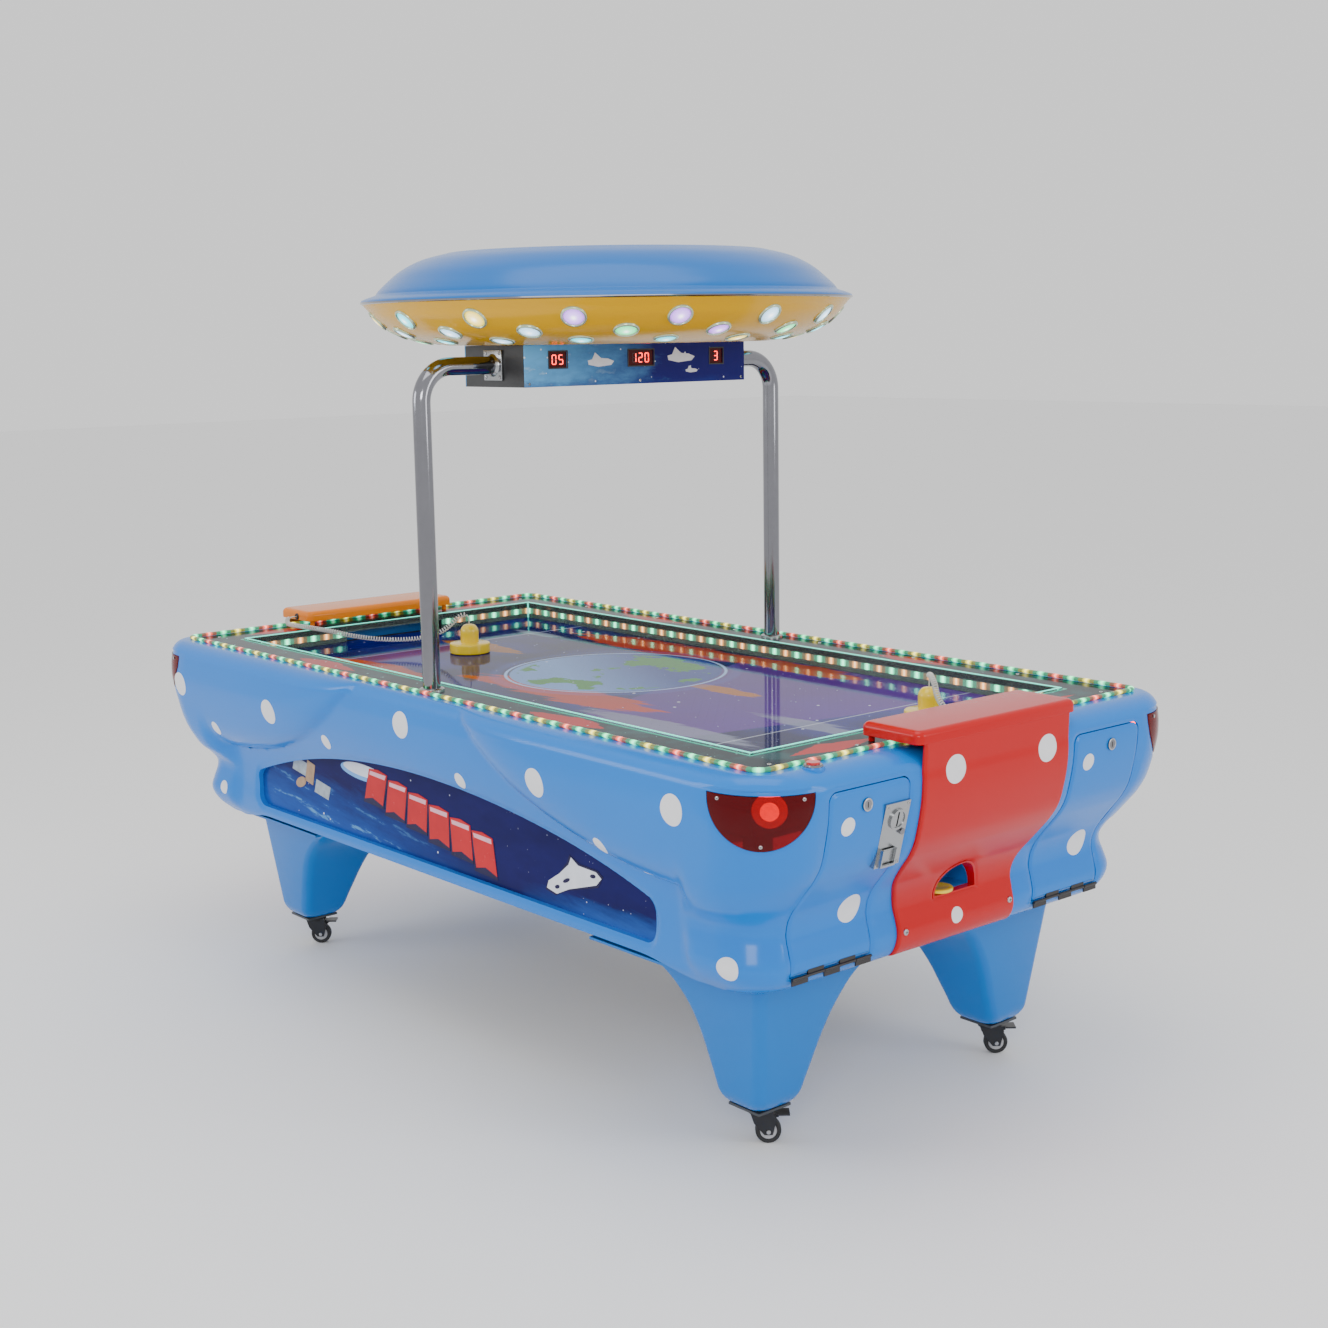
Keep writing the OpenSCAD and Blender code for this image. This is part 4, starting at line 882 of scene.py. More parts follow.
def body_rings(t=0.0, fine=True, lips=True):
    """The body's outline level by level, inset t, in metres."""
    heights = [-424 + 388 * k / 66 for k in range(67)] if fine else [-424 + 388 * k / 26 for k in range(27)]
    levels = [(h, curve(h, END) - t, curve(h, POD) - t, curve(h, SIDE) - t, curve(h, CORNER) - t)
              for h in heights]
    for a in np.linspace(0, math.pi / 2, 15 if fine else 7)[1:]:
        c = math.cos(a)
        levels.append((-36 + (36 - t) * math.sin(a), 13 + (56 - t) * c, 12 + (44 - t) * c, 12 + (21 - t) * c,
                       45 + (90 - t) * c))
    rings = []
    for v in levels:
        z, q = RIM + v[0], []
        for x, y in quarter(v, fine):
            if lips:
                d = lip(lamp_gap(x, y, z)) * DIAG
                x, y = x - d, y + d
                if x > 940 and y > -470:
                    x -= lip(door_gap(y, z))
                elif x < 800:
                    y += lip(arch_gap(x, z), 4.6, 14.0)
            q.append((x, y))
        n = len(q) - 1
        ring = q[:n] + [(x, -y) for x, y in q[n:0:-1]] + [(-x, -y) for x,
                                                          y in q[:n]] + [(-x, y) for x, y in q[n:0:-1]]
        rings.append([(x / 1000, y / 1000, z / 1000) for x, y in ring])
    return rings


def small(part):
    """Millimetres to metres."""
    return [(v[0] / 1000, v[1] / 1000, v[2] / 1000) for v in part[0]], part[1]


def mirrored(part, sx, sy):
    """The part with x and y multiplied by 1 or -1."""
    return [(v[0] * sx, v[1] * sy, v[2]) for v in part[0]], part[1]


def around(part):
    """The part at all four corners."""
    return [mirrored(part, sx, sy) for sx in (1, -1) for sy in (1, -1)]


def from_mesh(me):
    """A mesh as (verts, faces)."""
    return [tuple(v.co) for v in me.vertices], [tuple(p.vertices) for p in me.polygons]


def cut(*parts):
    """Steps for carve() that take the parts away."""
    return [("DIFFERENCE", p) for p in parts]


def arc(cx, cz, r, a0, a1, steps):
    """Points of an arc between two angles in degrees."""
    return [(cx + r * math.cos(math.radians(a)), cz + r * math.sin(math.radians(a)))
            for a in np.linspace(a0, a1, steps)]


def arch_outline(g):
    """The arched opening grown by g: two corner arcs and the arch, and their mirror image."""
    corner = ARCH_HALF - ARCH_BEND
    rise = 2200.1
    edge = math.degrees(math.atan2(rise, corner))
    pts = arc(corner, ARCH_LOW + ARCH_BEND, ARCH_BEND + g, -90, 0, 9)
    pts += arc(corner, ARCH_MID + rise, ARCH_BEND + g, 0, edge, 9)
    pts += arc(0, ARCH_MID, ARCH_R + g, edge, 90, 40)[1:]
    return pts + [(-x, z) for x, z in pts[-2::-1]]


def door_shape(g):
    """A door's outline grown by g."""
    y0, y1 = DOOR_Y - DOOR_HALF_Y - g, DOOR_Y + DOOR_HALF_Y + g
    low, top = DOOR_Z - DOOR_HALF_Z - g, DOOR_Z + DOOR_HALF_Z + g
    return [(y0, low), (y1, low), *arc(y1 - DOOR_BEND, top - DOOR_BEND, DOOR_BEND, 0, 90, 8),
            *arc(y0 + DOOR_BEND, top - DOOR_BEND, DOOR_BEND, 90, 180, 8)]


def scoop_shape(r):
    """The outline of the return mouth's arch or, with a larger r, of the wall round it."""
    a0 = math.degrees(math.asin((SCOOP_H - r) / r))
    return arc(0, SCOOP_Z, r, a0, 180 - a0, 40)


def lamp_part(g):
    """The lamp opening drawn in by g, as a solid along the corner's diagonal."""
    side, top = LAMP_HALF - g, 760 - g
    pts = [(LAMP_S - side * math.cos(a), LAMP_Z - (LAMP_H - g) * math.sin(a))
           for a in np.linspace(0, math.pi, 48)]
    pts += [(LAMP_S + side, top), (LAMP_S - side, top)]
    return small(prism(pts, 1030, 1260, lambda s, z, w: ((s + w) * DIAG, (s - w) * DIAG, z)))


def lathe(profile, axis, at, steps):
    """(radius, height) points turned about the axis from at, in metres."""
    return small(moved(revolve(profile, steps), frame_for(axis, at)))


def hoop(profile, axis, at, steps):
    """A closed (radius, height) outline turned about the axis from at, in metres."""
    return small(moved(ring_profile(profile, steps), frame_for(axis, at)))


def slab(us, vs, front, back):
    """A closed sheet between two surfaces over a grid."""
    n, m = len(us), len(vs)
    verts = [front(u, v) for v in vs for u in us] + [back(u, v) for v in vs for u in us]
    o, faces = n * m, []
    for j in range(m - 1):
        for i in range(n - 1):
            a = j * n + i
            faces += [(a, a + 1, a + n + 1, a + n), (a + o, a + n + o, a + n + 1 + o, a + 1 + o)]
        a, b = j * n, j * n + n - 1
        faces += [(a, a + n, a + n + o, a + o), (b + n, b, b + o, b + n + o)]
    for i in range(n - 1):
        a, b = i, (m - 1) * n + i
        faces += [(a + 1, a, a + o, a + 1 + o), (b, b + 1, b + 1 + o, b + o)]
    return verts, faces


arch_hole = small(prism(arch_outline(0), -640, -478, along_y))
arch_collar = small(prism(arch_outline(5), -640, -505, along_y))
door_holes = around(small(prism(door_shape(2), 960, 1180, along_x)))
scoops = [mirrored(small(prism(scoop_shape(62.5), 960, 1180, along_x)), s, 1) for s in (1, -1)]
lamp_holes = around(lamp_part(0))
rim_hole = small(loft([rounded(-1034.5, 1034.5, -528.5, 528.5, 34, z, 8) for z in (783, 815)]))
wave = [(860, 350), (-860, 350),
        *[(x, 366 + 22 * smooth((860 - abs(x)) / 160)) for x in range(-860, 861, 20)]]
waves = [small(prism(wave, y - 90, y + 90, along_y)) for y in (-541, 541)]
inside = body_rings(6.0, False, False)
inside = loft([[(x, y, z - 0.03) for x, y, z in inside[0]], *inside])
inside = from_mesh(carve(inside, cut(arch_collar, mirrored(arch_collar, 1, -1))))
boss = small(revolve([(0, 755), (21, 755), (21, 790), (20, 792), (0, 792)], 48, (1069, -432, 0)))
boss_bore = small(revolve([(0, 740), (11, 740), (11, 810), (0, 810)], 40, (1069, -432, 0)))
shell = carve(loft(body_rings()), [
    ("DIFFERENCE", inside), ("UNION", boss),
    *cut(rim_hole, arch_hole, mirrored(arch_hole, 1, -1), *door_holes, *scoops, *lamp_holes, *waves,
         boss_bore)])
finish_mesh("shell_skin", shell, "blue", slot="body_shell", hides=["body_shell"], angle=38)
floor_plate = small(loft([rounded(-978, 978, -498, 498, 84, z, 8) for z in (367, 372)]))
plates = [small(box(520, 1040, -540, 540, 360, 380)), small(box(-1040, -520, -540, 540, 360, 380))]
plates = from_mesh(carve(merged(plates), cut(small(box(-1050, 1050, -420, 420, 350, 390)))))
finish_mesh("corner_plates", carve(floor_plate, [("INTERSECT", plates)]), "blue_leg", slot="body_shell")


# ------------------------------------------------------------------ doors
# Height of the coin plate's middle, the locks' place, and the ends of the hinges' five knuckles.
COIN_Z, LOCK_Y, LOCK_Z = 648, 348, 718
KNUCKLE = [-101, -61, -20, 20, 61, 101]


def door_front(y, z, d=0.0):
    """A point of the doors' surface, d behind it, with rolled edges."""
    x = end_at(y, z) - lip(-door_gap(y, z, 0, 2), 2.6, 7.0)
    return (x / 1000 - d, y / 1000, z / 1000)


def coin_at(x, y, z):
    """A point of the coin plate's own frame, on the coin door."""
    a = math.radians(14)
    across, up = x * math.cos(a) + z * math.sin(a), z * math.cos(a) - x * math.sin(a)
    return ((end_x(COIN_Z) + 0.5 + across) / 1000, (y - 271) / 1000, (COIN_Z + up) / 1000)


def knuckle_row(spans, r, grow):
    """Hinge knuckles of radius r, each longer by grow at both ends."""
    parts = []
    for k in spans:
        a, b = DOOR_Y + KNUCKLE[k] - grow, DOOR_Y + KNUCKLE[k + 1] + grow
        parts.append(small(rod((1021.3, a, 396.5), (1021.3, b, 396.5), r, 28, 0.5)))
    return parts


def closer_at_ends(low, high, steps):
    """Even stations from low to high, with more near the ends for a rolled edge."""
    near = (0.6, 1.4, 2.4, 3.6, 5, 7)
    return sorted({*np.linspace(low, high, steps), *[low + k for k in near], *[high - k for k in near]})


fine_y = closer_at_ends(DOOR_Y - DOOR_HALF_Y, DOOR_Y + DOOR_HALF_Y, 40)
fine_z = closer_at_ends(DOOR_Z - DOOR_HALF_Z, DOOR_Z + DOOR_HALF_Z, 80)
door_sheet = slab(fine_y, fine_z, door_front, lambda y, z: door_front(y, z, 0.0062))
lock_bore = lathe([(0, -80), (9.55, -80), (9.55, 60), (0, 60)], (1, 0, 0), (end_x(LOCK_Z), LOCK_Y, LOCK_Z),
                  48)
coin_block = box(-40, 40, -32, 32, -63, 63)
coin_hole = ([coin_at(*p) for p in coin_block[0]], coin_block[1])
DOORS = {"door_coin": (1, -1), "door_red_back": (1, 1), "door_orange_front": (-1, -1),
         "door_orange_back": (-1, 1)}
door_edge = small(prism(door_shape(0), 960, 1180, along_x))
for door, corner in DOORS.items():
    steps = [("INTERSECT", door_edge), *cut(lock_bore, *knuckle_row((0, 2, 4), 5.0, 0.3))]
    if door == "door_coin":
        steps += cut(mirrored(coin_hole, 1, -1))
    part = mirrored(from_mesh(carve(door_sheet, steps)), *corner)
    piece(door + "_skin", *part, "blue", body=door, slot="door", hides=[door], angle=38)
    parts = knuckle_row((1, 3), 3.0, -0.3)
    for k in (1, 3):
        parts.append(small(box(1018.3, 1021.3, DOOR_Y + KNUCKLE[k] + 0.3, DOOR_Y + KNUCKLE[k + 1] - 0.3,
                               396.5, 407)))
    piece(door + "_knuckles", *mirrored(merged(parts), *corner), "hinge", body=door, slot="door")


# ------------------------------------------------------------------ goal covers
COVER_HALF = [(-424, -42), (-400, -38), (-350, -40), (-300, -34), (-250, -14), (-200, -5), (-150, 0),
              (60, 0)]


def cover_reach(z, g):
    """Reach of a goal cover at height z, g outside the body, up to its hood."""
    if z <= 754:
        return end_x(z) + g
    top = 1125.7 if g > 4 else 1119.9
    return end_x(754) + g + (top - end_x(754) - g) * (z - 754) / 54


def scoop_gap(y, z):
    """How far a point is outside the return mouth."""
    return max(math.hypot(y, z - SCOOP_Z) - SCOOP_H, SCOOP_Z - z)


def cover_point(u, z, back=False):
    """A point of a goal cover. u runs from -1 to 1 across it, and back is its inner face."""
    w = 206 + curve(z - RIM, COVER_HALF)
    d, dz = w * (1 - abs(u)), z - 374
    x = cover_reach(z, 0.3 if back else 8.0)
    if not back:
        d = min(d, dz)
        x -= 6.4 - math.sqrt(max(6.4 ** 2 - (6.4 - min(d, 6.4)) ** 2,
                                 0)) + lip(scoop_gap(w * u, z), 4.0, 9.0)
    return (x / 1000, w * u / 1000, z / 1000)


us = [-1 + k / 206 for k in (0, 0.25, 0.7, 1.4, 2.4, 3.6, 5, 6.6, 9, 14)]
us = us + list(np.linspace(-0.9, 0.9, 73)) + [-u for u in reversed(us)]
vs = [374 + k for k in (0, 0.25, 0.7, 1.4, 2.4, 3.6, 5, 6.6, 9)] + list(np.linspace(388, 806, 100))
front = slab(us, vs, cover_point, lambda u, z: cover_point(u, z, True))
levels = [(803, 0.8), (803.8, 0), (816, 0)]
levels += [(816 + 12 * math.sin(a), 12 * (1 - math.cos(a))) for a in np.linspace(0.15, math.pi / 2, 9)]
hood = small(loft([rounded(980 + t, 1126 - t, -224 + t, 224 - t, max(16 - t * 0.7, 3), z, 7) for z,
                   t in levels]))
hollow = small(box(986, 1120, -218, 218, 795, 822, 4))
mouth = small(prism(scoop_shape(SCOOP_H), 960, 1180, along_x))
reach = slab([-80, 80], list(np.linspace(440, 560, 30)), lambda y,
             z: (cover_reach(z, 7.4) / 1000, y / 1000, z / 1000),
             lambda y, z: (0.99, y / 1000, z / 1000))
tunnel = from_mesh(carve(small(prism(scoop_shape(62), 1001, 1047, along_x)), [("INTERSECT", reach)]))
cover_bores = [lathe([(0, -60), (3.1, -60), (3.1, 30), (0, 30)], (1, 0, 0), (1037, s * 150, 423), 24)
               for s in (1, -1)]
cord_bore = small(rod((1040, 200, 812), (1040, 240, 812), 5, 32, 0.2))
cover = carve(hood, [*cut(hollow), ("UNION", front), ("UNION", tunnel),
                     *cut(mouth, cord_bore, *cover_bores)])
cover_parts = from_mesh(cover)
finish_mesh("cover_red", cover, "red", slot="goal_cover_red", hides=["goal_cover_red"], angle=38)
piece("cover_orange", *mirrored(cover_parts, -1, -1), "orange", slot="goal_cover_orange",
      hides=["goal_cover_orange"], angle=38)
feet = [small(rod((994, s * 206, 790), (994, s * 206, 826), 6, 28)) for s in (1, -1)]
piece("hood_feet_red", *merged(feet), "red", slot="goal_cover_red")
piece("hood_feet_orange", *mirrored(merged(feet), -1, 1), "orange", slot="goal_cover_orange")
for s, end in ((1, "red"), (-1, "orange")):
    bush = hoop([(5.2, 0), (5.2, 4), (7.5, 3.4), (8.5, 1.6), (8.5, 0)], (0, s, 0),
                (1040 * s, 223.6 * s, 812), 32)
    piece("cord_bush_" + end, *bush, "black", slot="goal_cover_" + end)


# ------------------------------------------------------------------ white dots
def disc(surface, cu, cv, r, lift=0.0005, steps=44):
    """A thin closed round sticker that follows a surface."""
    def put(u, v, h):
        p = Vector(surface(u, v))
        n = (Vector(surface(u + 1, v)) - p).cross(Vector(surface(u, v + 1)) - p).normalized()
        return p + (n if n.dot(Vector((p.x, p.y, 0))) >= 0 else -n) * h
    verts, rows = [], []
    for h, radii in ((lift, (0, 0.3, 0.6, 0.85, 0.97)), (lift * 0.6, (1.0,)), (-0.0008, (1.0, 0.6, 0))):
        for k in radii:
            if k == 0:
                rows.append([len(verts)] * steps)
                verts.append(put(cu, cv, h))
                continue
            rows.append(list(range(len(verts), len(verts) + steps)))
            verts += [put(cu + r * k * math.cos(2 * math.pi * i / steps),
                          cv + r * k * math.sin(2 * math.pi * i / steps), h)
                      for i in range(steps)]
    return verts, bridged(rows)


def side_skin(x, z):
    """A point of the near long side's surface."""
    return (x / 1000, -(side_y(x, z) - lip(arch_gap(x, z), 4.6, 14.0)) / 1000, z / 1000)


# x, z and radius of each dot
SIDE_DOTS = [(-971, 691, 29), (-535, 682, 29), (-831, 597, 17), (-343, 635, 17), (-8, 726, 29),
             (488, 690, 29),
             (185, 636, 17), (889, 711, 29), (651, 594, 17), (-891, 432, 17), (954, 422, 22)]
dots = merged([disc(side_skin, *d) for d in SIDE_DOTS])
piece("dots_front", *dots, "white", slot="body_shell")
piece("dots_back", *mirrored(dots, 1, -1), "white", slot="body_shell")
left = merged([disc(door_front, -391, 685, 17), disc(door_front, -287, 496, 28)])
right = merged([disc(door_front, 280, 692, 17), disc(door_front, 379, 493, 28)])
piece("dots_door_coin", *left, "white", body="door_coin", slot="door")
piece("dots_door_red_back", *right, "white", body="door_red_back", slot="door")
piece("dots_door_orange_back", *mirrored(left, -1, -1), "white", body="door_orange_back", slot="door")
piece("dots_door_orange_front", *mirrored(right, -1, -1), "white", body="door_orange_front", slot="door")


def cover_skin(y, z):
    """A point of a goal cover's surface at y and z."""
    w = 206 + curve(z - RIM, COVER_HALF)
    return cover_point(y / w, z)


dots = merged([disc(cover_skin, -124, 746, 27), disc(cover_skin, 138, 744, 27),
               disc(cover_skin, -5, 425, 16)])
piece("dots_cover_red", *dots, "white", slot="goal_cover_red")
piece("dots_cover_orange", *mirrored(dots, -1, -1), "white", slot="goal_cover_orange")


# ------------------------------------------------------------------ legs
CASTER_X, CASTER_Y = 828, 336
# The legs' reach past the caster's middle on their inner sides, as (height, reach), along x and along y.
LEG_X = [(0, 62), (28, 65), (80, 80), (125, 95), (170, 116), (205, 143), (235, 180), (258, 226), (286, 300)]
LEG_Y = [(0, 62), (28, 65), (80, 84), (125, 101), (170, 122), (205, 145), (235, 170), (258, 200), (286, 242)]


def leg_ring(h, t):
    """A leg's outline at height h, drawn in by t."""
    tip = 26 * (1 - math.sqrt(1 - min(max(1 - h / 34, 0), 1) ** 2))
    x0, y0 = CASTER_X - curve(h, LEG_X) + tip + t, CASTER_Y - curve(h, LEG_Y) + tip + t
    x1, y1 = CASTER_X + 58 + 0.14 * h - tip - t, CASTER_Y + 58 + 0.11 * h - tip - t
    return rounded(x0, x1, y0, y1, 24 - t, 80 + h, 8)


rise = [286 * (k / 34) ** 1.3 for k in range(35)]
tops, inner = [leg_ring(h, 0) for h in rise], [leg_ring(h, 5) for h in reversed(rise)]
leg = small(loft([*tops, *inner, tops[0]], caps=False))
piece("leg_skins", *merged(around(leg)), "blue_leg", slot="leg_covers", hides=["leg_covers"], angle=40)

# ------------------------------------------------------------------ corner lamps
behind = loft(body_rings(3.4, False, False))
lens = from_mesh(carve(loft(body_rings(0.6, True, False)), [("INTERSECT", lamp_part(1.0)), *cut(behind)]))
piece("lamp_lenses", *merged(around(lens)), "lamp", slot="lamp_covers", hides=["lamp_covers"], angle=38)
lamp = (DIAG, -DIAG, 0), (952, -420, 720)
arm = [small(box(944, 958, -434, -384, 695, 745, 2)), lathe([(0, 0), (9, 0), (9, 106), (0, 106)], *lamp, 32)]
piece("lamp_arms", *merged([p for a in arm for p in around(a)]), "frame", slot="corner_lamps",
      hides=["corner_lamps"])
dish = hoop([(0.5, 106), (14, 107), (24, 112), (31, 121), (32, 121), (25, 110), (14, 105), (0.5, 104)],
            *lamp, 48)
piece("lamp_dishes", *merged(around(dish)), "chrome", slot="corner_lamps")
bulb = lathe([(0, 107), (6, 108), (9, 114), (15, 122), (16.5, 130), (14, 138), (8, 143.5), (0, 145)], *lamp,
             32)
piece("lamp_bulbs", *merged(around(bulb)), "bulb", slot="corner_lamps")


# ------------------------------------------------------------------ lit strips
def lit_run(name, path, profile, material, slot, hides=()):
    """A strip with an (across, up) outline along a flat line. Its points hold their length along it."""
    closed = path[0] == path[-1]
    pts = [Vector((*p, 0)) for p in (path[:-1] if closed else path)]
    n, rings, along, total = len(pts), [], [], 0.0
    for i, p in enumerate(pts):
        a = pts[(i - 1) % n] if closed or i else p
        b = pts[(i + 1) % n] if closed or i < n - 1 else p
        t = (b - a).normalized()
        out = Vector((t.y, -t.x, 0))
        rings.append([(p.x + out.x * u, p.y + out.y * u, w) for u, w in profile])
        if i:
            total += (p - pts[i - 1]).length
        along.append(total)
    m = len(profile)
    verts, faces = loft(rings, caps=not closed)
    if closed:
        k = (n - 1) * m
        faces += [(k + i, k + (i + 1) % m, (i + 1) % m, i) for i in range(m)]
    o = piece(name, verts, faces, material, slot=slot, hides=hides, angle=50)
    at = o.data.attributes.new("along", "FLOAT", "POINT")
    at.data.foreach_set("value", np.repeat(np.array(along, dtype=np.float32), m))
    return o


def dense(points, step=0.004):
    """The points of a line with more put between them."""
    out = []
    for a, b in zip(points, points[1:]):
        a, b = Vector(a), Vector(b)
        k = max(1, int((b - a).length / step))
        out += [tuple(a.lerp(b, i / k)) for i in range(k)]
    return out + [tuple(points[-1])]


track = [(x / 1000, y / 1000) for x, y in rounded(-1041, 1041, -535, 535, 28, None, 10)]
track = dense([*track, track[0]])
tube_line = [(0.006 * math.cos(a), 0.7945 + 0.0042 * math.sin(a))
             for a in np.linspace(0, 2 * math.pi, 13)[:-1]]
lit_run("rope_light", track, tube_line, "rope", "led_rope", ["led_rope"])
flat = [(-0.0009, 0.7615), (0.0009, 0.7615), (0.0009, 0.7755), (-0.0009, 0.7755)]
runs = [((-0.924, -0.443), (0.924, -0.443)), ((0.924, 0.443), (-0.924, 0.443))]
runs += [((sx * 0.925, sy * 0.151), (sx * 0.925, sy * 0.441)) for sx in (1, -1) for sy in (1, -1)]
for i, (a, b) in enumerate(runs):
    lit_run("wall_light_%d" % i, dense([a, b]), flat, "strip", "led_strips", ["led_strips"]
            if i == 0 else [])
# The glass rail's top and corner edges as thin strips that glow teal: painted light, as the glass is no lamp.
edge = []
for s in (1, -1):
    edge.append(small(box(-923, 923, s * 439 - 2.6, s * 439 + 2.6, 792.05, 793.4, 0.5)))
    edge.append(small(box(s * 921 - 2.6, s * 921 + 2.6, -435, 435, 792.05, 793.4, 0.5)))
    for t in (1, -1):
        edge.append(small(box(s * 916 - 1.6, s * 916 + 1.6, t * 434 - 1.6, t * 434 + 1.6, 750.5, 792, 0.5)))
piece("rail_edges", *merged(edge), "rail_edge", slot="rail_glass")


# ------------------------------------------------------------------ posts
# Radius and place of a post, the radius of its bend, and the height and inner end of its arm.
POST_R, POST_Y, POST_BEND, ARM_Z, ARM_END = 19, -498, 73, 1466, -316


def post_line():
    """The middle line of a post, from under the rim round its bend to the score box."""
    bend_y, bend_z = POST_Y + POST_BEND, ARM_Z - POST_BEND
    pts = [(0, POST_Y, z) for z in np.linspace(680, bend_z, 30)]
    pts += [(0, bend_y - POST_BEND * math.cos(a), bend_z + POST_BEND * math.sin(a))
            for a in np.linspace(0, math.pi / 2, 22)[1:]]
    return pts + [(0, y, ARM_Z) for y in np.linspace(bend_y, ARM_END, 8)[1:]]


post = small(tube([Vector(p) for p in post_line()], POST_R, 56))
piece("post_tubes", *merged([post, mirrored(post, 1, -1)]), "chrome", slot="posts", hides=["posts"],
      angle=50)
trim = [small(ring_profile([(19.1, 790), (19.1, 797), (24, 796.4), (26.6, 794.5), (27, 790)], 64,
                           (0, POST_Y, 0)))]
trim.append(small(box(-32, 32, ARM_END, ARM_END + 5, ARM_Z - 32, ARM_Z + 32, 1.2)))
trim.append(hoop([(19.1, 0), (19.1, 5), (21, 3), (23.5, 0.8), (24, 0)], (0, -1, 0), (0, ARM_END, ARM_Z), 64))
piece("post_flanges", *merged([*trim, *[mirrored(p, 1, -1) for p in trim]]), "plate", slot="posts", angle=40)

# ------------------------------------------------------------------ canopy
def smooth_profile(points, per=6):
    """(radius, height) points with a smooth curve put through them."""
    return [(max(p.x, 0), p.y) for p in catmull([(*q, 0) for q in points], per)]


dome = smooth_profile([(349, 1704.5), (356, 1703.5), (408, 1690), (452, 1668), (484, 1642), (500, 1627)])
dome += smooth_profile([(504, 1622), (507, 1617.5), (514, 1614.5), (527, 1610.5), (537, 1606),
                        (540, 1602.5)], 4)
dome = [(0, 1703.2), (200, 1703.2), (345, 1703.2), (347, 1704.5), *dome, (539.5, 1601), (536, 1601)]
under = [(max(r - 4, 0), z - 4.4) for r, z in reversed(dome[4:-3])]
piece("canopy_dome", *small(revolve([*dome, (530, 1602), *under, (330, 1698), (0, 1698)], 144)), "blue_dome",
      slot="canopy_top", hides=["canopy_top"], angle=42)
bowl = smooth_profile([(538, 1600.5), (531, 1592), (523, 1583), (505, 1562), (466, 1535), (411, 1518),
                       (355, 1508)])
lid = [(0, 1512), (352, 1512), *[(r - 4, z + 3) for r, z in reversed(bowl[2:-3])], (533, 1600.5)]
piece("canopy_bowl", *small(revolve([(0, 1507.2), (300, 1507.2), *reversed(bowl), *reversed(lid)], 144)),
      "yellow",
      slot="canopy_bottom", hides=["canopy_bottom"], angle=42)
piece("canopy_lip", *small(ring_profile([(536, 1597), (540, 1598.5), (541, 1600), (540, 1602), (536, 1602)],
                                        144)), "chrome",
      slot="canopy_top")
LIGHTS = "ice violet cyan amber ice green cyan violet ice cyan amber violet green ice cyan".split()
groups, bezels = {}, []
for row, (r, z, tilt) in enumerate(((505, 1562, 46), (466, 1535, 26), (411, 1518, 14))):
    for k in range(15):
        a, t = math.radians(24 * k + 12 * (row % 2) + 1.5), math.radians(tilt)
        out = Vector((math.sin(t) * math.cos(a), math.sin(t) * math.sin(a), -math.cos(t)))
        where = out, (r * math.cos(a), r * math.sin(a), z)
        prof = [(0, 4.4), (6, 4.2), (12, 3.5), (17, 2.4), (20.5, 0.8), (21, -3), (0, -3)]
        verts, faces = lathe(prof, *where, 28)
        fac = [0.0] + [p[0] / 21 for p in prof[1:6] for _ in range(28)] + [0.0]
        groups.setdefault(LIGHTS[(k * 4 + row * 5) % 15], []).append((verts, faces, fac))
        bezels.append(hoop([(20.6, -2), (21, 1.6), (22.6, 3.2), (25, 2.8), (26.4, 1.2), (26.6, -2)], *where,
                           32))
piece("light_bezels", *merged(bezels), "bezel", slot="canopy_lights", hides=["canopy_lights"], angle=40)
for tone, items in groups.items():
    o = piece("lights_" + tone, *merged([(v, f) for v, f, _ in items]), "light_" + tone,
              slot="canopy_lights", angle=60)
    at = o.data.attributes.new("rad", "FLOAT", "POINT")
    at.data.foreach_set("value", np.array([x for _, _, fac in items for x in fac], dtype=np.float32))

# ------------------------------------------------------------------ score displays
# The lit bars of each digit, and each bar's sides from the digit's middle.
SEGMENTS = {"0": "abcdef", "1": "bc", "2": "abged", "3": "abgcd", "5": "afgcd"}
BARS = {"a": (-4, 4, 8.6, 10.4), "d": (-4, 4, -10.4, -8.6), "g": (-4, 4, -0.9, 0.9), "b": (4, 5.8, 0.8, 8.8),
        "c": (4, 5.8, -8.8, -0.8), "f": (-5.8, -4, 0.8, 8.8), "e": (-5.8, -4, -8.8, -0.8)}
lit, dim = [], []
for sx in (1, -1):
    for y0, text in ((-224, "05"), (4, "120"), (225, "3")):
        for i, ch in enumerate(text):
            yc = y0 + sx * (i - (len(text) - 1) / 2) * 18
            for bar, (u0, u1, w0, w1) in BARS.items():
                u0, u1 = sorted((sx * u0, sx * u1))
                b = small(box(*sorted((sx * 106.0, sx * 106.7)), yc + u0, yc + u1, 1476 + w0, 1476 + w1))
                (lit if bar in SEGMENTS[ch] else dim).append(b)
piece("digits_lit", *merged(lit), "led_red", slot="score_displays")
piece("digits_dim", *merged(dim), "led_off", slot="score_displays")
frames = []
for sx in (1, -1):
    for y0, w in ((-224, 48), (4, 72), (225, 40)):
        deep, half = sorted((sx * 107.6, sx * 109)), w / 2
        frames += [small(box(*deep, y0 - half - 2, y0 + half + 2, z - 1.2, z + 1.2)) for z in (1458, 1494)]
        frames += [small(box(*deep, y - 1.2, y + 1.2, 1459.2, 1492.8))
                   for y in (y0 - half - 1, y0 + half + 1)]
piece("window_frames", *merged(frames), "black", slot="score_panels")


# ------------------------------------------------------------------ printed shapes
def decals(name, shapes, material, y=-505.2):
    """Thin shapes drawn in x and z on the near long side's picture, and their twins on the far side."""
    near = [small(prism(shape, y - 0.5, y + 0.5, along_y)) for shape in shapes]
    piece(name, *merged([q for p in near for q in (p, mirrored(p, -1, -1))]), material, slot="side_panels")


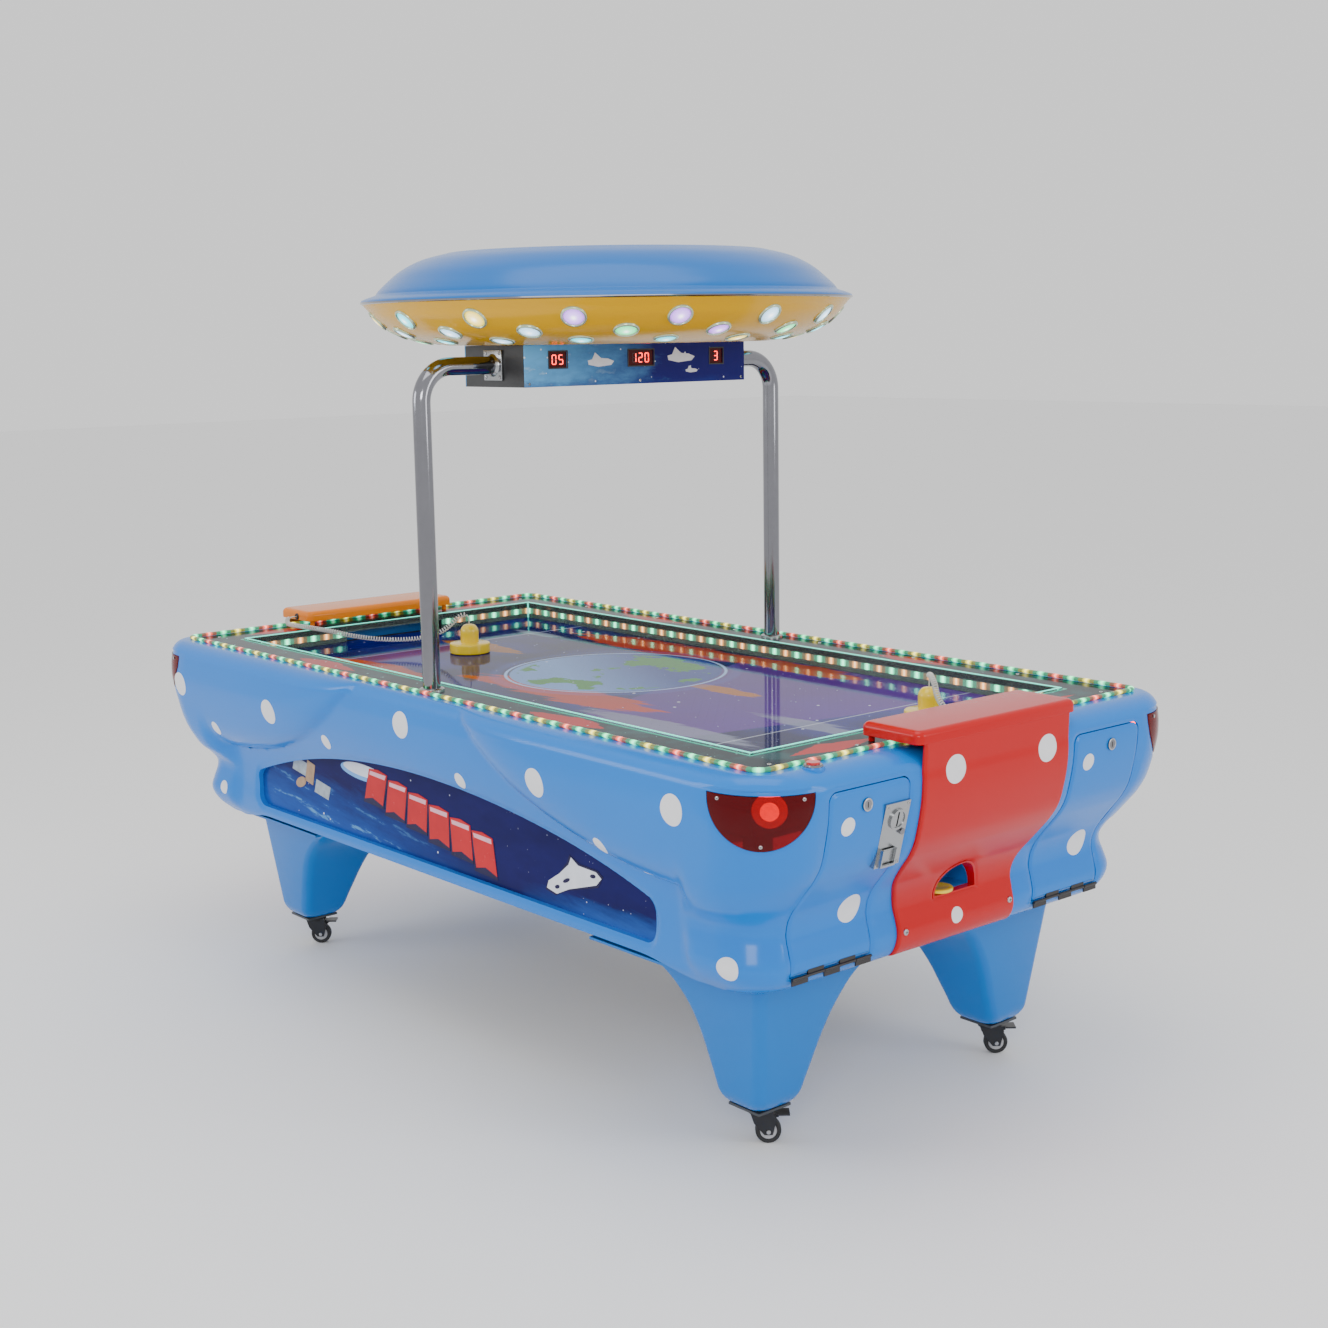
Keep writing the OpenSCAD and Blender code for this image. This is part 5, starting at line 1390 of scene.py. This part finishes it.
def oval(cx, cz, w, h, tilt, n=36):
    """A tilted ellipse, w and h from its middle."""
    c, s = math.cos(math.radians(tilt)), math.sin(math.radians(tilt))
    return [(cx + w * math.cos(a) * c - h * math.sin(a) * s, cz + w * math.cos(a) * s + h * math.sin(a) * c)
            for a in np.linspace(0, 2 * math.pi, n + 1)[:-1]]


decals("print_glow", [oval(-280, 566, 96, 19, -1)], "print_sky", -505.1)
decals("print_cloud", [oval(-280, 571, 84, 14, -1)], "print_white", -505.4)
reds, lights, shades = [], [], []
for i in range(6):
    x0, w = -276 + 86 * i, 74
    lean, drop = 22 - 7 * i, 13.5 * i
    top, low = 580 - drop * 0.98, 508 - drop * 1.02 - 3 * (i % 2)
    shades.append([(x0 - 6, low - 8), (x0 + w + 2, low - 12), (x0 + w + lean + 4, top - 10),
                   (x0 + lean - 3, top - 4)])
    reds.append([(x0, low), (x0 + w * 0.45, low + 7), (x0 + w, low - 5), (x0 + w + lean, top - 4),
                 (x0 + w * 0.5 + lean, top + 3), (x0 + lean, top)])
    lights.append([(x0 + lean * 0.8 + 6, top - 13), (x0 + w + lean * 0.8 - 6, top - 16),
                   (x0 + w + lean - 5, top - 6), (x0 + lean + 5, top - 4)])
decals("print_shade", shades, "print_dark", -505.3)
decals("print_red", reds, "print_red", -505.7)
decals("print_light", lights, "print_pink", -506.1)
wings = [[(x, z), (x + 62, z - 10), (x + 74, z + 22), (x + 12, z + 32)] for x,
         z in ((-598, 524), (-500, 484))]
decals("print_wings", wings, "print_grey")
decals("print_craft", [[(-540, 505), (-505, 498), (-492, 548), (-526, 556)], oval(-560, 497, 24, 12, 20)],
       "print_tan", -505.6)
hull = [(398, 446), (430, 440), (470, 458), (556, 484), (572, 500), (556, 510), (500, 512), (478, 524),
        (470, 508), (440, 484), (404, 462)]
rim = [(x + (5 if x > 480 else -5), z + (4 if z > 485 else -4)) for x, z in hull]
decals("print_hull_edge", [rim], "print_dark", -505.3)
decals("print_hull", [hull], "print_white", -505.7)
windows = [oval(546, 500, 9, 4, 10), oval(462, 474, 12, 4, 25), oval(432, 455, 8, 4, 20)]
decals("print_windows", windows, "print_dark", -506.0)
craft = []
silhouette = [(-32, -8), (-6, -14), (30, -10), (38, 0), (22, 7), (2, 9), (-14, 24), (-22, 6), (-34, 3)]
for sx in (1, -1):
    for y0, z0, k in ((-110, 1470, 1.0), (118, 1476, 1.1), (150, 1446, 0.5)):
        outline = [(sx * (y0 + u * k), z0 + v * k * 0.8) for u, v in silhouette]
        craft.append(small(prism(outline, sx * 107.8, sx * 108.4, along_x)))
piece("score_print", *merged(craft), "print_white", slot="score_panels")


# ------------------------------------------------------------------ play pieces and casters
mallet = smooth_profile([(22.2, 27), (22.3, 34), (22.5, 52), (20.6, 61), (15, 68.5), (7.5, 71.6), (0, 72)],
                        5)
mallet = [(0, 0.4), (46, 0.4), (48.6, 1.1), (49.7, 2.4), (50, 4), (50, 22), (49.6, 24), (48.6, 25.3),
          (46.5, 26), (25, 26), (23, 26.4), *mallet]
for nm, x, y in (("mallet_red", 826, 140), ("mallet_orange", -545, -22)):
    piece(nm + "_body", *small(revolve(mallet, 72, (x, y, 750))), "mallet", body=nm, slot=nm, hides=[nm],
          angle=50)
puck = [(0, 0.2), (28, 0.2), (30.4, 0.7), (31.5, 2), (31.5, 6), (30.4, 7.4), (28, 8), (22, 8), (20.5, 7.2),
        (0, 7.2)]
piece("puck_body", *small(revolve(puck, 72, (992, -22, 470))), "puck", body="puck", slot="puck",
      hides=["puck"], angle=30)
tyre = [(17, -9.6), (22, -10), (24.3, -8.6), (25, -6), (25, 6), (24.3, 8.6), (22, 10), (17, 9.6), (16.6, 8),
        (16.6, -8)]
core = [(4.1, -9), (5.5, -9.6), (15.4, -9.2), (16.5, -8), (16.5, 8), (15.4, 9.2), (5.5, 9.6), (4.1, 9)]
for end, sx in (("red", 1), ("orange", -1)):
    for side, sy in (("front", -1), ("back", 1)):
        tag = end + "_" + side
        place = Matrix.Translation((sx * CASTER_X, sy * CASTER_Y,
                                    0)) @ Matrix.Rotation(math.radians(49.5), 4, "Z")
        spin = place @ Matrix.Translation((16, 0, 25)) @ Matrix.Rotation(math.pi / 2, 4, "X")
        piece("tyre_" + tag, *small(moved(ring_profile(tyre, 64), spin)), "rubber", body="wheel_" + tag,
              slot="caster_wheel",
              hides=["wheel_" + tag])
        hub = [ring_profile(core, 48)]
        for k in range(6):
            hub.append(moved(box(7, 15.4, -1.1, 1.1, -9.9, 9.9), Matrix.Rotation(math.pi / 3 * k, 4, "Z")))
        piece("hub_" + tag, *small(moved(merged(hub), spin)), "hub", body="wheel_" + tag,
              slot="caster_wheel")
        axle = revolve([(0, -17.5), (3.4, -17.5), (4, -17), (4, 17), (3.4, 17.5), (0, 17.5)], 28)
        piece("axle_" + tag, *small(moved(axle, spin)), "steel", body="wheel_" + tag, slot="caster_wheel")

# ------------------------------------------------------------------ screws
def corner_skin(u, z):
    """x and y where the corner's surface meets the line u past the lamp's middle, found by halving."""
    out, step = 900.0, 350.0
    for _ in range(24):
        step /= 2
        x, y = (LAMP_S + u + out + step) * DIAG, (LAMP_S + u - out - step) * DIAG
        out += step if side_y(x, z) > -y else 0
    return x, y


# Place, direction and radius of each screw
SCREWS = {"table": [], "door_coin": []}
for s in (1, -1):
    for t in (1, -1):
        SCREWS["table"].append(((s * (end_x(423) + 8.2), t * 150, 423), (s, 0, 0), 6.5))
        for y in (-300, 300):
            SCREWS["table"].append(((s * 108.2, y, 1427), (s, 0, 0), 3.2))
        for k in (1, -1):
            SCREWS["table"].append(((s * 25, t * 316.2, 1466 + k * 25), (0, t, 0), 4.0))
        for x in (150, 450, 750):
            SCREWS["table"].append(((s * x, t * 512, 790.1), (0, 0, 1), 4.2))
        for y in (250, 470):
            SCREWS["table"].append(((s * 1000, t * y, 790.1), (0, 0, 1), 4.2))
        for u, z in ((-74, 752), (74, 752), (0, 672)):
            x, y = corner_skin(u, z)
            SCREWS["table"].append(((s * (x + 0.2), t * -(y - 0.2), z), (s * 0.72, t * 0.68, 0), 3.4))
    SCREWS["table"].append(((s * 108.2, 0, 1427), (s, 0, 0), 3.2))
for y in (-27, 27):
    for z in (-58, 58):
        at = coin_at(0.2, y, z)
        SCREWS["door_coin"].append(((at[0] * 1000, at[1] * 1000, at[2] * 1000), (0.97, 0, -0.242), 3.4))
for body, items in SCREWS.items():
    owner = "body_shell" if body == "table" else "coin_plate"
    # The cross recesses are thin black bars over the heads: painted shade in the hollows.
    heads, recess_shades = [], []
    for at, axis, r in items:
        head, marks = screw(Vector(at), axis, r, r * 0.42)
        heads.append(small(head))
        recess_shades += [small(mk) for mk in marks]
    piece("screws_" + body, *merged(heads), "steel", body=body, slot=owner, angle=40)
    piece("screw_recess_shades_" + body, *merged(recess_shades), "black", body=body, slot=owner)
lock_x = end_x(LOCK_Z) + 3.35
ring = hoop([(9, 0), (9.4, 0.5), (11, 0.4), (11.6, 0)], (1, 0, 0), (lock_x, LOCK_Y, LOCK_Z), 40)
# The keyhole is a thin black bar on the lock's face: painted shade standing in for the hollow.
key = small(box(lock_x - 0.2, lock_x + 0.25, LOCK_Y - 1, LOCK_Y + 1, LOCK_Z - 5, LOCK_Z + 5))
for door, corner in DOORS.items():
    lock = door.replace("door", "lock")
    piece(lock + "_ring", *mirrored(ring, *corner), "steel", body=lock, slot="lock")
    piece(lock + "_keyhole_shade", *mirrored(key, *corner), "black", body=lock, slot="lock")

# ------------------------------------------------------------------ finishes of the CAD nodes in view
LOOKS = {"side_panels": "panel", "border_frame": "border", "rail_glass": "glass", "field_walls": "dark",
         "playfield": "playfield", "air_chamber": "wood", "blower_housing": "frame", "blower_motor": "casting",
         "blower_impeller": "alu", "support_frame": "frame", "puck_chutes": "chute", "door_hinges": "hinge",
         "coin_plate": "plate", "coin_button": "chrome", "coin_flap": "plate", "cash_box": "box",
         "control_box": "box", "power_inlet": "black", "start_button": "button", "start_bezel": "chrome",
         "score_box": "black", "score_panels": "score", "score_displays": "window"}
for door in DOORS:
    LOOKS[door.replace("door", "lock")] = "chrome"
for corner in ("red_front", "red_back", "orange_front", "orange_back"):
    LOOKS["caster_" + corner] = LOOKS["brake_" + corner] = "fork"
for node, look in LOOKS.items():
    NODES[node].data.materials.clear()
    NODES[node].data.materials.append(M[look])

# ------------------------------------------------------------------ floor and light
ground = paint("studio_floor", (0.93, 0.93, 0.93), 0.7, vary=0.005, scale=1.5, grain=0.05, grain_scale=60)
floor_mesh = mesh_of("floor", ([(-30, -30, 0), (30, -30, 0), (30, 30, 0), (-30, 30, 0)], [(0, 1, 2, 3)]))
floor_mesh.materials.append(ground)
in_scene("studio_floor", floor_mesh)
world = bpy.data.worlds.new("studio")
bpy.context.scene.world = world
world.use_nodes = True
backdrop = world.node_tree.nodes["Background"]
backdrop.inputs["Color"].default_value = (1.0, 1.0, 1.0, 1.0)
backdrop.inputs["Strength"].default_value = 1.05


def soft_light(name, at, to, energy, width, height, colour=(1, 1, 1)):
    """A rectangular studio light at a point, turned to another."""
    lamp = bpy.data.lights.new(name, "AREA")
    lamp.shape, lamp.size, lamp.size_y, lamp.energy, lamp.color = "RECTANGLE", width, height, energy, colour
    o = in_scene(name, lamp)
    aim = (Vector(at) - Vector(to)).to_track_quat("Z", "Y").to_matrix().to_4x4()
    o.matrix_world = Matrix.Translation(at) @ aim


soft_light("over", (0.6, -0.6, 3.6), (0, 0, 0.7), 40, 2.4, 2.4)
soft_light("front", (3.6, -3.2, 2.3), (0, 0, 0.7), 45, 1.6, 1.0)
soft_light("left", (-2.4, -3.6, 2.0), (0, 0, 0.6), 35, 1.8, 1.4, (0.94, 0.97, 1.0))
soft_light("right", (4.2, 1.6, 1.8), (0.4, 0, 0.7), 25, 1.2, 1.6)
